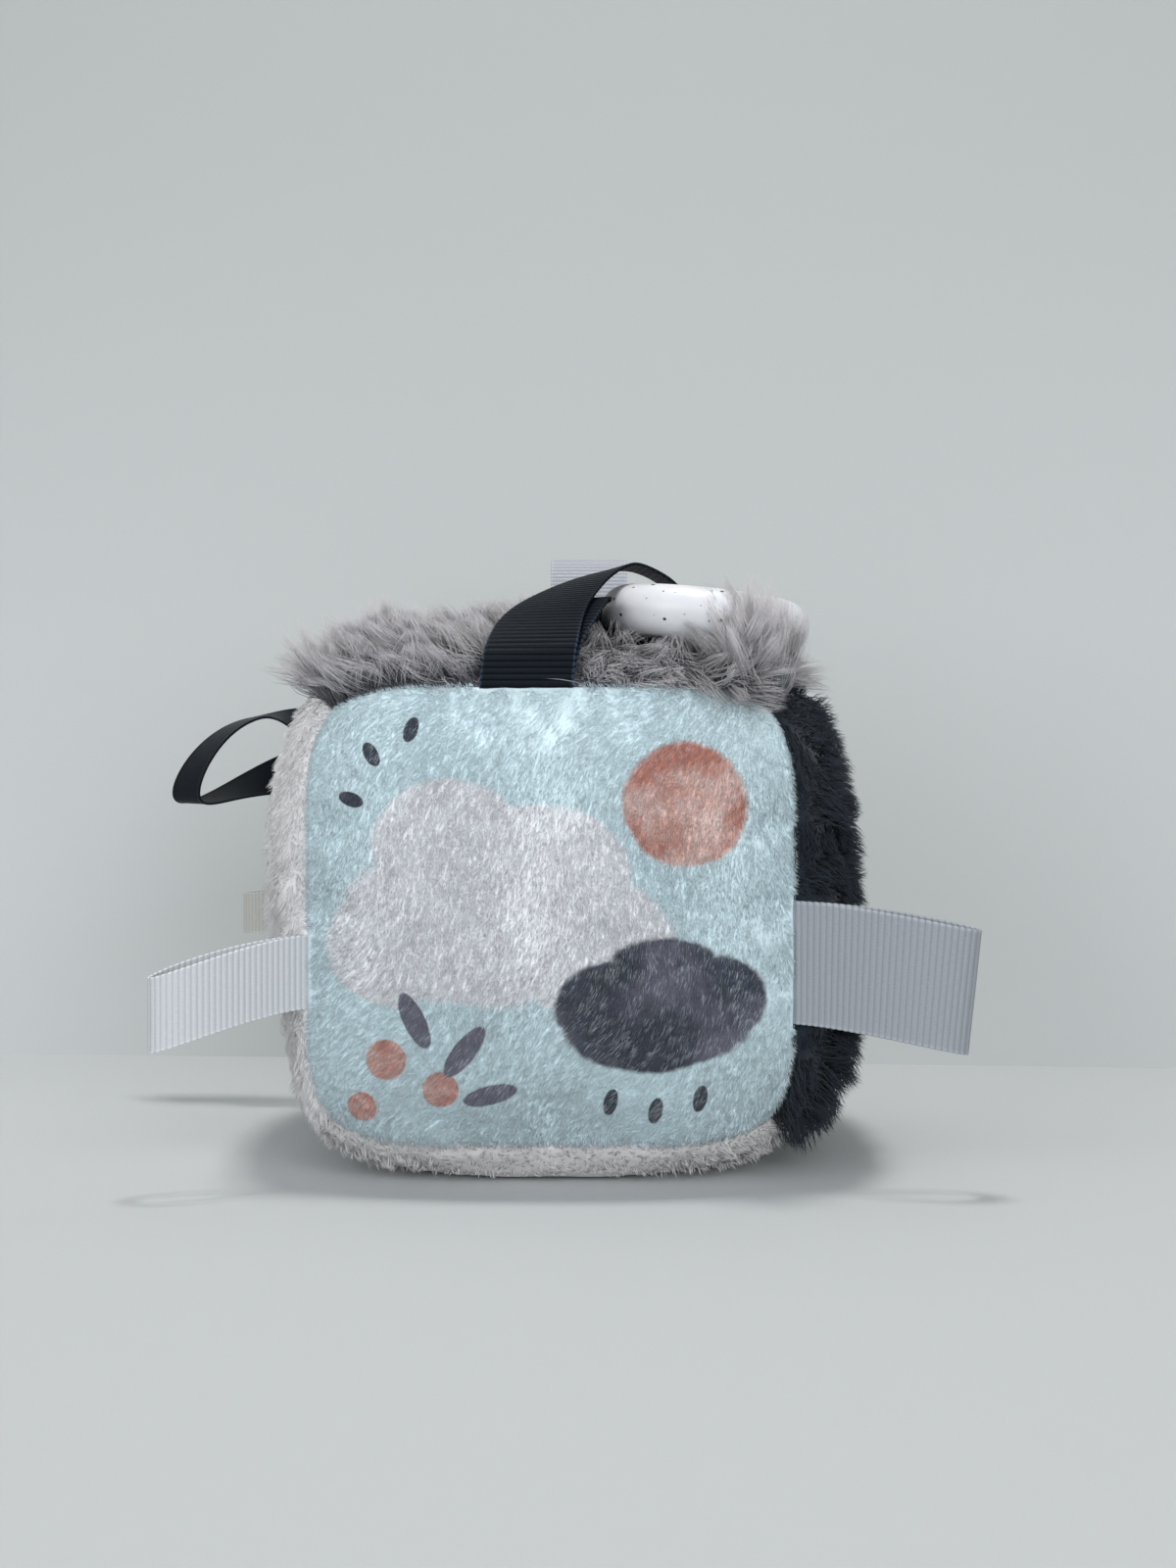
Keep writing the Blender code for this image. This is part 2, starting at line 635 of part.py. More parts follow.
def ring_ribbon_stations(hinge, along, reach):
    """The ribbon's way from the seam, over the ring's tube, down through the ring and back under the tube."""
    held, out, up = wrap_frame()
    rise = held - hinge
    sewn = along.cross(reach) * (RIBBON_THICKNESS / 2)
    hole = RING_RADIUS - RING_TUBE_RADIUS
    gathered_half = min(RING_RIBBON_WIDTH / 2, HOLE_FILL_SHARE * hole)
    radius = RING_RADIUS - math.sqrt(hole ** 2 - gathered_half ** 2) + LOOP_GAP + RIBBON_THICKNESS / 2
    under = RING_TUBE_RADIUS + CLEARANCE + RIBBON_THICKNESS / 2
    points = [sewn]
    for x, y, z, upwards, inwards in OUTWARD_SHARES:
        points.append(Vector((rise.x * x, rise.y * y, rise.z * z)) + (up * upwards - out * inwards) * radius)
    points.append(rise - up * under + out * (radius * UNDER_OUT_SHARE))
    points += [Vector((rise.x * x, rise.y * y, rise.z * z)) for x, y, z in HOMEWARD_SHARES]
    points.append(-sewn)
    tangent = up.cross(out)
    stations = []
    for k, centre in enumerate(curve_through(points, RING_RIBBON_STATIONS)):
        share = k / RING_RIBBON_STATIONS
        held_share = smooth(share / TURN_OUT_SHARE) * smooth((1 - share) / TURN_BACK_SHARE)
        half = RING_RIBBON_WIDTH / 2 * (1 - held_share) + gathered_half * held_share
        stations.append((centre, along.slerp(tangent, held_share), half))
    return stations


def make_ring_ribbon(panels):
    """The black ribbon in the top front seam that holds the ring."""
    names = "front_panel", "top_fur_panel"
    point, along, outward = seam_frame(names, RING_RIBBON_PLACE)
    reach = Matrix.Rotation(RING_RIBBON_SWING, 3, along) @ outward
    hinge = point + outward * HINGE_STANDOFF
    stations = ring_ribbon_stations(hinge, along, reach)
    ribbon = make_ribbon_loop("black_ring_loop", stations, reach, BLACK, hinge)
    sew_in("black_ring_loop", panels, names, RING_RIBBON_PLACE, RING_RIBBON_WIDTH, BLACK)
    return ribbon


def main():
    clear_scene()
    panels = {name: make_panel(name) for name in PANELS}
    make_stuffing()
    for name in TABS:
        make_tab(name, panels)
    make_side_loop(panels)
    ribbon = make_ring_ribbon(panels)
    hang(make_ring(), ribbon)


main()
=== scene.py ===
"""Dresses a soft fabric block: plush panels round a filling, fur on top, ribbons in the seams and a ring.

Run as a script in Blender 4.5. Metres, +Z up, the blue panel faces -Y and the block stands on Z = 0.
"""

import json
import math
from collections import namedtuple

import bpy
import numpy as np
from bpy.props import FloatProperty, FloatVectorProperty, PointerProperty
from mathutils import Matrix, Vector
from mathutils.kdtree import KDTree


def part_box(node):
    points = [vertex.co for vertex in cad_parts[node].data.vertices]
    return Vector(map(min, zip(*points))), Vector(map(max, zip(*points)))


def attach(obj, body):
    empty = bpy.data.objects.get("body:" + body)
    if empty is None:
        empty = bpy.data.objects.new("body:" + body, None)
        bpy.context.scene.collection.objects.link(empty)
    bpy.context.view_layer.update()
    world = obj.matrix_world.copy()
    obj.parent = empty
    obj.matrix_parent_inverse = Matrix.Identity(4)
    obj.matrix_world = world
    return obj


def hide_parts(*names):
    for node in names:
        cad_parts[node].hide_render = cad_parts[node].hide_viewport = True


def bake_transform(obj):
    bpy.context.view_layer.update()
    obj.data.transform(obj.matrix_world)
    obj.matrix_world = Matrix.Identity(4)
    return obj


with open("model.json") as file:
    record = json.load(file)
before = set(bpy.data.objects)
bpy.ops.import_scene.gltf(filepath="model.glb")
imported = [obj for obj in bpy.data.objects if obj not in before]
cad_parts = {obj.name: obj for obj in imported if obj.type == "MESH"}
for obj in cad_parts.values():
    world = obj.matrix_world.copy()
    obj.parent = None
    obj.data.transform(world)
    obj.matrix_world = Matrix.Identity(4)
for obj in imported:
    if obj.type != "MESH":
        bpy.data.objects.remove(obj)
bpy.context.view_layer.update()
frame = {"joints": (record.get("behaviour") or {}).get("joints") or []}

bl_info = {
    "name": "Soft Fabric Block",
    "version": (1, 0, 0),
    "blender": (4, 5, 0),
    "location": "3D View > Sidebar > Soft Block",
    "description": "Builds a stuffed fabric block with plush panels, fur, ribbons and a ring",
    "category": "Object",
}

JOINTS = {joint["name"]: joint for joint in frame["joints"]}

UP = Vector((0, 0, 1))
RIGHT = Vector((1, 0, 0))
REARWARD = Vector((0, 1, 0))

# The cover: cells along a panel's side and how evenly they are spread, how sharply the seams draw in at the
# corners, how far inside the filling lies, for how many frames the cloth settles, and what touches the floor
PANEL_CELLS = 40
EVEN_SHARE = 0.15
CORNER_POWER = 6
FILLING_INSET_SHARE = 0.09
FILLING_COLOUR = (0.85, 0.85, 0.83)
SETTLE_FRAMES = 20
FLOOR_TOUCH = 0.0004

# Each panel: its two directions, the way out, how far and how low it swells, how flat that is, and its slot
Panel = namedtuple("Panel", "across along outward crown sag power slot")
PANELS = {
    "front_panel": Panel(RIGHT, UP, -REARWARD, "front_crown", 0.10, 0.65, "blue_plush"),
    "back_panel": Panel(-RIGHT, UP, REARWARD, "back_crown", 0.10, 0.65, "blush_plush"),
    "left_panel": Panel(-REARWARD, UP, -RIGHT, "left_crown", -0.25, 0.65, "blush_plush"),
    "right_panel": Panel(REARWARD, UP, RIGHT, "right_crown", 0.20, 0.40, "dark_plush"),
    "top_fur_panel": Panel(RIGHT, REARWARD, UP, "top_crown", 0, 0.65, "grey_fur"),
    "bottom_panel": Panel(RIGHT, -REARWARD, -UP, "base_crown", 0, 0.65, "warm_grey_plush"),
}

# Pile: its seed, pieces and strands in each, then the strands' length, the share by which they vary, how many
# degrees they lean and how they spread. clump is a clump's width: pull draws its tips together, dome rounds
# it off and stray sets it its own way. Strands bend along the comb, curl, and have a radius and segments.
Pile = namedtuple(
    "Pile",
    "seed pieces count length uneven lean spread clump pull dome stray bend curl radius segments comb")
PILES = {
    "front_panel": Pile(11, 2, 45000, 0.0021, 0.5, 72, 0.10, 0.0016, 0.15, 0, 0.05, 0.05, 0, 0.00010, 1,
                        (-0.45, 0, -0.9)),
    "back_panel": Pile(12, 1, 10000, 0.0040, 0.4, 55, 0.16, 0.0034, 0.50, 0.2, 0.15, 0.20, 0, 0.00013, 2,
                       (0.1, 0, -1)),
    "left_panel": Pile(13, 1, 15000, 0.0036, 0.4, 52, 0.18, 0.0034, 0.50, 0.2, 0.20, 0.22, 0, 0.00011, 2,
                       (0, -0.15, -1)),
    "right_panel": Pile(14, 1, 11600, 0.0076, 0.18, 28, 0.15, 0.0065, 0.40, 0.5, 0.30, 0.25, 0.0008, 0.00015,
                        3, (0, -0.1, -1)),
    "bottom_panel": Pile(15, 1, 10000, 0.0036, 0.4, 50, 0.18, 0.0036, 0.55, 0.2, 0.25, 0.10, 0, 0.00012, 2,
                         (0.3, -1, 0.1)),
    "top_fur_panel": Pile(21, 5, 5500, 0.0120, 0.35, 38, 0.15, 0.0062, 0.78, 0.15, 0.32, 0.25, 0.0006,
                          0.000095, 4, (-0.35, -0.5, 0)),
}

# Each short pile's look: its shade at the root and at the tip, how unevenly it is taken, roughness and sheen
PILE_LOOKS = {
    "front_panel": (0.95, 1.08, 0.18, 0.65, 0.25),
    "back_panel": (0.88, 1.08, 0.2, 0.7, 0.25),
    "left_panel": (0.88, 1.08, 0.2, 0.7, 0.25),
    "right_panel": (0.5, 1.5, 0.6, 0.65, 0.04),
    "bottom_panel": (0.75, 1.10, 0.2, 0.7, 0.25),
}
# The fur's look ends with how patchy it is
FUR_LOOK = (0.9, 1.08, 0.35, 0.62, 0.3, 0.5)

# Strands: the fewest clumps, how far a comb that points into the cloth is laid flat, how a clump's pull grows
# towards the tips, how far a curl turns, and how much thinner the tip gets
FEWEST_CLUMPS = 8
COMB_LAID = 0.6
PULL_POWER = 1.3
CURL_TURN = 5
TAPER = 0.75
TAPER_POWER = 1.5

# Short pile: its swirls, how far it turns out over the seams and how much shorter it is there, its length low
# down, how much shorter it is higher up, how high it stays short over the floor, and where none grows
SWIRL_SCALE = 120
SWIRL_LEAN = 0.35
SEAM_TURN = 0.005
SEAM_SHORTENING = 0.3
LOW_LENGTH = 1.12
PRESSED_SHARE = 0.25
PRESSED_HEIGHT = 0.1
FLOOR_PILE_HEIGHT = 0.0035
PILE_START = 0.0012

# How near a strand comes to the floor, a ribbon and the ring, and the checks along each of its segments
FLOOR_GAP = 0.0003
RIBBON_GAP = 0.0015
FUR_RIBBON_GAP = 0.0014
RING_GAP = 0.0003
CHECKS_PER_SEGMENT = 4

# Tufts where more fur stands together: centre, reach and strands
TUFTS = (
    (0.0425, -0.0455, 0.0075, 3500), (-0.0475, -0.044, 0.006, 1200), (-0.033, -0.030, 0.009, 900),
    (0.048, -0.0435, 0.006, 1700))

# Places where the fur is brushed another way: centre, reach, direction, length share and lean
Brush = namedtuple("Brush", "x y reach comb length lean")
BRUSHES = (
    Brush(-0.048, -0.043, 0.009, (-0.5, -0.1, 1.0), 1.45, 48),
    Brush(-0.033, -0.028, 0.011, (-0.1, -0.3, 0.8), 1.12, 14),
    Brush(-0.0405, -0.040, 0.004, (0, -1, 0), 0.60, 60),
    Brush(-0.014, -0.030, 0.012, (-0.4, -0.5, 0), 0.75, 50),
    Brush(-0.020, 0.030, 0.022, (-0.3, -0.3, 0), 0.90, 45),
    Brush(-0.048, 0.010, 0.016, (-0.6, -0.3, 0.3), 0.80, 45),
    Brush(0.016, -0.040, 0.015, (0.3, -1, 0), 0.58, 60),
    Brush(0.030, -0.0500, 0.010, (0.3, -1, -0.6), 1.15, 72),
    Brush(0.0445, -0.045, 0.009, (0, 0.1, 1.0), 2.00, 68),
    Brush(0.044, -0.0505, 0.0045, (0.2, -1, -0.9), 0.50, 78),
    Brush(0.047, 0.030, 0.018, (0.6, 0.5, 0), 0.90, 45),
)

# The fur's waves, how far they turn it, how it parts outwards, and the places tried for each strand of a tuft
FUR_WAVES = np.array(((95, 140), (160, -70)))
WAVE_TURN = 0.7
FUR_PARTING = (14, 6)
TUFT_TRIES = 60

# Ribbons: columns across, stations along each rib, how deep the ends are sewn in, and how far they bend
# there. A ribbed one has a scalloped selvedge. Ribs fade and a bead begins near the edges.
RIBBON_COLUMNS = 14
STATIONS_PER_RIB = 6
PLAIN_PITCH = 0.001
SMOOTHING_PASSES = 12
SEWN_DEPTH = 0.0072
BLEND_REACH = 0.0025
SELVEDGE_SCALLOP = 0.00012
RIB_FADE = 12
BEAD_FADE = 14
BEAD_SHARE = 0.25
FOLD_STEPS = 240

# The side loop: its reach, how far it rises midway and hangs at its end, how far its two layers stand apart
# upwards and sideways, the degrees that it starts aside and that its end leans back, and the share of its way
# home on which it turns on edge again
LOOP_REACH = 0.0447
LOOP_RISE = 0.006
LOOP_DROP = 0.007
LOOP_OPENING = 0.0105
LOOP_SIDEWAYS = 0.005
LOOP_SWING = 38
LOOP_LEAN = 50
LOOP_HOME_SHARE = 0.6
LOOP_STEPS = 320
SATIN_RIB = 0.00005

# The ring ribbon: its ribs, the degrees that it starts aside, how far it gathers in the hole, how far it is
# kept off the ring over and under the tube, and the shares of its way on which it turns to the ring and back
RING_RIB_PITCH = 0.00130
RING_RIB = 0.00014
RING_RIBBON_SWING = -31
GATHERED_SHARE = 0.70
OVER_GAP = 0.00185
UNDER_GAP = 0.0009
TURN_THERE = 0.364
TURN_BACK = 0.312
RING_RIBBON_STEPS = 480

# Each short tab: its CAD node, which also names its joint, its body, the seam's
# direction and the way out of it, the names of its width and colour, its length, how far its two layers stand
# apart, the degrees that it is drawn aside, how far it hangs, the degrees that it twists, and its ribs' pitch
# and height
Tab = namedtuple("Tab", "cad body along outward width colour length belly swing drop twist pitch rib")
TABS = {
    "white_ribbon": Tab("white_tab", "white_ribbon", UP, (-REARWARD - RIGHT).normalized(), "white_width",
                        "white", 0.031, 0.0058, -25, 0.0075, 0, 0.00125, 0.00009),
    "silver_ribbon": Tab("silver_tab", "silver_ribbon", UP, (RIGHT - REARWARD).normalized(), "silver_width",
                         "silver", 0.035, 0.0056, 33, 0.0052, -6, 0.0013, 0.00010),
    "grey_top_ribbon": Tab("grey_top_tab", "grey_ribbon", RIGHT, (REARWARD + UP).normalized(), "grey_width",
                           "grey", 0.035, 0.0056, 35, 0, 0, 0.00095, 0.00008),
    "taupe_ribbon": Tab("taupe_tab", "taupe_ribbon", UP, (REARWARD - RIGHT).normalized(), "taupe_width",
                        "taupe", 0.029, 0.0054, 38, 0.002, 0, 0.0010, 0.00008),
}

# The ring: segments round it and round its tube, and the width of its mould line
RING_SEGMENTS = 120
TUBE_SEGMENTS = 40
MOULD_LINE_WIDTH = 0.00025

# Each ribbed look: the strength of its painted selvedge glints, groove shade and ridge highlights, then its
# bump and gloss
TAB_LOOK = (0.3, 0.84, 1.03, 0.3, 0.4)
RING_RIBBON_LOOK = (9, 0.15, 1.8, 0.4, 0.075)

# The stage: each lamp's place, size, power and tint, what they aim at, and the camera
LAMPS = {
    "overhead lamp": ((0.01, -0.03, 0.85), 0.11, 3.1, (1, 0.985, 0.965)),
    "left lamp": ((-0.75, -0.85, 0.42), 0.7, 5.0, (0.96, 0.98, 1)),
    "right lamp": ((0.35, -1.05, 0.40), 0.7, 7.3, (0.96, 0.98, 1)),
}
LAMP_AIM = Vector((0, 0, 0.04))
SKY_COLOUR = (0.97, 0.985, 1, 1)
SKY_STRENGTH = 0.24
STAGE_SIZE = 6
FLOOR_LEVEL = -0.0002
WALL_PLACE = (0, 0.135, 0)
WALL_TURN = -5
CAMERA_PLACE = (0.0075, -0.480, 0.087)
CAMERA_DIP = 0.66
CAMERA_LENS = 48.8
CAMERA_SENSOR = 36

# What one step leaves for the next: each panel's grid of points, and the points midway through each ribbon
SURFACES = {}
RIBBON_LINES = {}


def length(name, description, default):
    """A size that a user would change, in metres."""
    return FloatProperty(
        name=name, description=description, default=default, min=0, unit="LENGTH", precision=4)


def share(name, description, default):
    """A plain number that a user would change."""
    return FloatProperty(name=name, description=description, default=default, min=0, max=20)


def colour(name, description, default):
    """A colour that a user would change."""
    return FloatVectorProperty(name=name, description=description, default=default, size=3, min=0, max=1,
                               subtype="COLOR")


class CoverSizes(bpy.types.PropertyGroup):
    """The cover, measured from seam to seam."""

    width: length("Width", "Seam to seam from left to right", 0.099)
    depth: length("Depth", "Seam to seam from front to back", 0.100)
    height: length("Height", "Seam to seam from bottom to top", 0.093)
    lift: length("Lift", "Height of the lower seams above the floor", 0.009)
    corner_draw: length("Corner draw", "How far the seams draw in at each corner", 0.005)
    front_crown: length("Front crown", "How far the front panel swells", 0.010)
    back_crown: length("Back crown", "How far the back panel swells", 0.010)
    left_crown: length("Left crown", "How far the left panel swells", 0.012)
    right_crown: length("Right crown", "How far the right panel swells", 0.0135)
    top_crown: length("Top crown", "How far the top panel swells", 0.0117)
    base_crown: length("Base crown", "How far the bottom panel would swell if the floor let it", 0.018)
    cloth: length("Cloth", "Thickness of the plush without its pile", 0.0016)
    reach: length("Reach", "The most that a point of the cover moves as it settles", 0.0011)
    pressure: share("Pressure", "How hard the filling presses", 4)
    spare: share("Spare cloth", "Share by which the cloth is cut larger than its place", 0.012)


class BlockColours(bpy.types.PropertyGroup):
    """The colours of the cloths, ribbons and ring."""

    blue: colour("Blue plush", "Ground of the front panel", (0.66, 0.805, 0.855))
    frost: colour("Frosted strands", "Front strands that take the print less", (0.76, 0.85, 0.89))
    blush: colour("Blush plush", "Left and back panels", (0.87, 0.86, 0.87))
    dark: colour("Dark plush", "Right panel", (0.006, 0.013, 0.024))
    warm_grey: colour("Warm grey plush", "Bottom panel", (0.75, 0.73, 0.735))
    fur_tip: colour("Fur tips", "Ends of the fur", (0.475, 0.46, 0.48))
    fur_root: colour("Fur roots", "Foot of the fur", (0.072, 0.073, 0.095))
    white: colour("White ribbon", "White tab", (0.52, 0.54, 0.565))
    silver: colour("Silver ribbon", "Silver tab", (0.27, 0.29, 0.32))
    grey: colour("Grey ribbon", "Top tab", (0.33, 0.345, 0.385))
    taupe: colour("Taupe ribbon", "Small tab", (0.50, 0.50, 0.47))
    black: colour("Black ribbon", "Side loop and ring ribbon", (0.004, 0.006, 0.009))
    ring: colour("Ring", "Ground of the ring", (0.70, 0.71, 0.74))
    charcoal: colour("Print charcoal", "Dark cloud and drops", (0.036, 0.048, 0.078))
    mauve: colour("Print mauve", "Wash in the dark cloud", (0.17, 0.17, 0.235))
    cream: colour("Print white", "Pale cloud", (0.86, 0.87, 0.91))
    coral: colour("Print coral", "Sun", (0.56, 0.24, 0.185))
    peach: colour("Print peach", "Wash in the sun", (0.78, 0.57, 0.52))
    floor: colour("Floor", "Floor", (0.53, 0.55, 0.555))
    wall: colour("Wall", "Backdrop", (0.57, 0.594, 0.594))


class RibbonSizes(bpy.types.PropertyGroup):
    """The ribbons' widths and lengths."""

    thickness: length("Thickness", "Thickness of the ribbon under its ribs", 0.0004)
    white_width: length("White width", "Width of the white tab", 0.015)
    silver_width: length("Silver width", "Width of the silver tab", 0.025)
    grey_width: length("Grey width", "Width of the top tab", 0.019)
    taupe_width: length("Taupe width", "Width of the small tab", 0.010)
    side_width: length("Side loop width", "Width of the side loop", 0.012)
    ring_width: length("Ring ribbon width", "Width of the ribbon that holds the ring", 0.019)


class RingSizes(bpy.types.PropertyGroup):
    """The ring."""

    radius: length("Radius", "From the ring's middle to the middle of its tube", 0.017)
    tube: length("Tube", "Radius of the tube", 0.0055)
    mould_line: length("Mould line", "How far the mould line stands up", 0.00006)


def deselect():
    """Leaves nothing selected."""
    for thing in bpy.context.selected_objects:
        thing.select_set(False)


def pick(thing):
    """Makes one object the only selected and active one."""
    deselect()
    thing.select_set(True)
    bpy.context.view_layer.objects.active = thing


def apply_modifiers(thing):
    """Applies an object's modifiers in order."""
    pick(thing)
    for modifier in list(thing.modifiers):
        bpy.ops.object.modifier_apply(modifier=modifier.name)


def in_edit_mode(thing, action, **settings):
    """Runs one mesh operator on the whole of an object."""
    pick(thing)
    bpy.ops.object.mode_set(mode="EDIT")
    bpy.ops.mesh.select_all(action="SELECT")
    action(**settings)
    bpy.ops.object.mode_set(mode="OBJECT")


def subdivide(thing):
    """Rounds a piece off with one subdivision."""
    modifier = thing.modifiers.new("Subdivision", "SUBSURF")
    modifier.levels = modifier.render_levels = 1
    apply_modifiers(thing)


def points_of(mesh):
    """A mesh's points as an array."""
    points = np.empty(len(mesh.vertices) * 3)
    mesh.vertices.foreach_get("co", points)
    return points.reshape(-1, 3)


def set_points(mesh, points):
    """Moves a mesh's points to the places in an array."""
    mesh.vertices.foreach_set("co", points.ravel())
    mesh.update()


def unit(vectors):
    """Vectors brought to length 1."""
    return vectors / np.maximum(np.linalg.norm(vectors, axis=-1, keepdims=True), 1e-12)


def mesh_object(name, points, quads, triangles=(), **attributes):
    """A new smooth object from arrays of points and faces, with one named attribute for each array given."""
    quads, triangles = np.asarray(quads, int).reshape(-1, 4), np.asarray(triangles, int).reshape(-1, 3)
    corners = np.concatenate((quads.ravel(), triangles.ravel()))
    starts = np.concatenate((np.arange(len(quads)) * 4, quads.size + np.arange(len(triangles)) * 3))
    mesh = bpy.data.meshes.new(name)
    mesh.vertices.add(len(points))
    mesh.loops.add(len(corners))
    mesh.polygons.add(len(starts))
    mesh.vertices.foreach_set("co", np.ascontiguousarray(points, float).ravel())
    mesh.loops.foreach_set("vertex_index", corners)
    mesh.polygons.foreach_set("loop_start", starts)
    mesh.update(calc_edges=True)
    for key, values in attributes.items():
        if np.ndim(values) == 1:
            mesh.attributes.new(key, "FLOAT", "POINT").data.foreach_set("value", values)
        else:
            mesh.attributes.new(key, "FLOAT_VECTOR", "POINT").data.foreach_set("vector", np.ravel(values))
    mesh.shade_smooth()
    made = bpy.data.objects.new(name, mesh)
    bpy.context.scene.collection.objects.link(made)
    return made


def dress(piece, material, body="block", nodes=()):
    """Gives a piece its material, lets it ride on its body and stand for its CAD nodes."""
    piece.data.materials.clear()
    piece.data.materials.append(material)
    if nodes:
        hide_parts(*nodes)
    if body:
        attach(piece, body)


# Materials


def add_node(tree, kind, sockets=None, **settings):
    """Adds a node. A socket's value is either plain or the output that feeds it."""
    made = tree.nodes.new(kind)
    for key, value in settings.items():
        setattr(made, key, value)
    for key, value in (sockets or {}).items():
        if isinstance(value, bpy.types.NodeSocket):
            tree.links.new(value, made.inputs[key])
        else:
            made.inputs[key].default_value = value
    return made


def calculate(tree, operation, first, second=0.0, third=0.0):
    """A Math node's output."""
    return add_node(tree, "ShaderNodeMath", {0: first, 1: second, 2: third}, operation=operation).outputs[0]


def blend_colours(tree, factor, first, second, mode="MIX"):
    """A Mix node's colour output."""
    sockets = {0: factor, 6: first, 7: second}
    return add_node(tree, "ShaderNodeMix", sockets, data_type="RGBA", blend_type=mode).outputs[2]


def map_range(tree, value, low, high, out_low=0.0, out_high=1.0):
    """A value taken smoothly from one range to another."""
    sockets = {"Value": value, "From Min": low, "From Max": high, "To Min": out_low, "To Max": out_high}
    return add_node(tree, "ShaderNodeMapRange", sockets, interpolation_type="SMOOTHSTEP").outputs[0]


def noise_value(tree, vector, scale, detail=2.0, roughness=0.5):
    """A noise texture's value."""
    sockets = {"Vector": vector, "Scale": scale, "Detail": detail, "Roughness": roughness}
    return add_node(tree, "ShaderNodeTexNoise", sockets).outputs[0]


def centred(tree, value, strength):
    """A value between 0 and 1, brought to either side of 0."""
    return calculate(tree, "MULTIPLY", calculate(tree, "SUBTRACT", value, 0.5), strength)


def attribute(tree, name, output="Fac"):
    """One of the piece's named attributes."""
    return add_node(tree, "ShaderNodeAttribute", attribute_name=name).outputs[output]


def object_coordinates(tree):
    """The piece's own coordinates."""
    return add_node(tree, "ShaderNodeTexCoord").outputs["Object"]


def yarns(tree, weave, scale, detail):
    """Fine yarns along a ribbon."""
    stretched = add_node(tree, "ShaderNodeMapping", {"Vector": weave, "Scale": scale}).outputs[0]
    return noise_value(tree, stretched, 1, detail)


def shaded(tree, ground, level):
    """A colour made darker or lighter by a level."""
    grey = add_node(tree, "ShaderNodeCombineColor", {0: level, 1: level, 2: level}).outputs[0]
    return blend_colours(tree, 1, ground, grey, "MULTIPLY")


def rgb(values):
    """A plain colour with its alpha."""
    return (*values, 1)


def new_group(name, inputs, outputs):
    """A shader node group with its named inputs and outputs."""
    tree = bpy.data.node_groups.new(name, "ShaderNodeTree")
    for key, (kind, default) in inputs.items():
        socket = tree.interface.new_socket(key, in_out="INPUT", socket_type="NodeSocket" + kind)
        socket.default_value = default
    for key, kind in outputs.items():
        tree.interface.new_socket(key, in_out="OUTPUT", socket_type="NodeSocket" + kind)
    return tree, tree.nodes.new("NodeGroupInput").outputs, tree.nodes.new("NodeGroupOutput").inputs


def use_group(tree, name, sockets):
    """Places a group in a tree and returns its outputs."""
    return add_node(tree, "ShaderNodeGroup", sockets, node_tree=bpy.data.node_groups[name]).outputs


def new_material(name, **plain):
    """A material with a Principled BSDF whose plain sockets are set, its tree and the shader's inputs."""
    material = bpy.data.materials.new(name)
    material.use_nodes = True
    tree = material.node_tree
    shader = tree.nodes["Principled BSDF"].inputs
    for key, value in plain.items():
        shader[key.replace("_", " ").title().replace("Ior", "IOR")].default_value = value
    return material, tree, shader


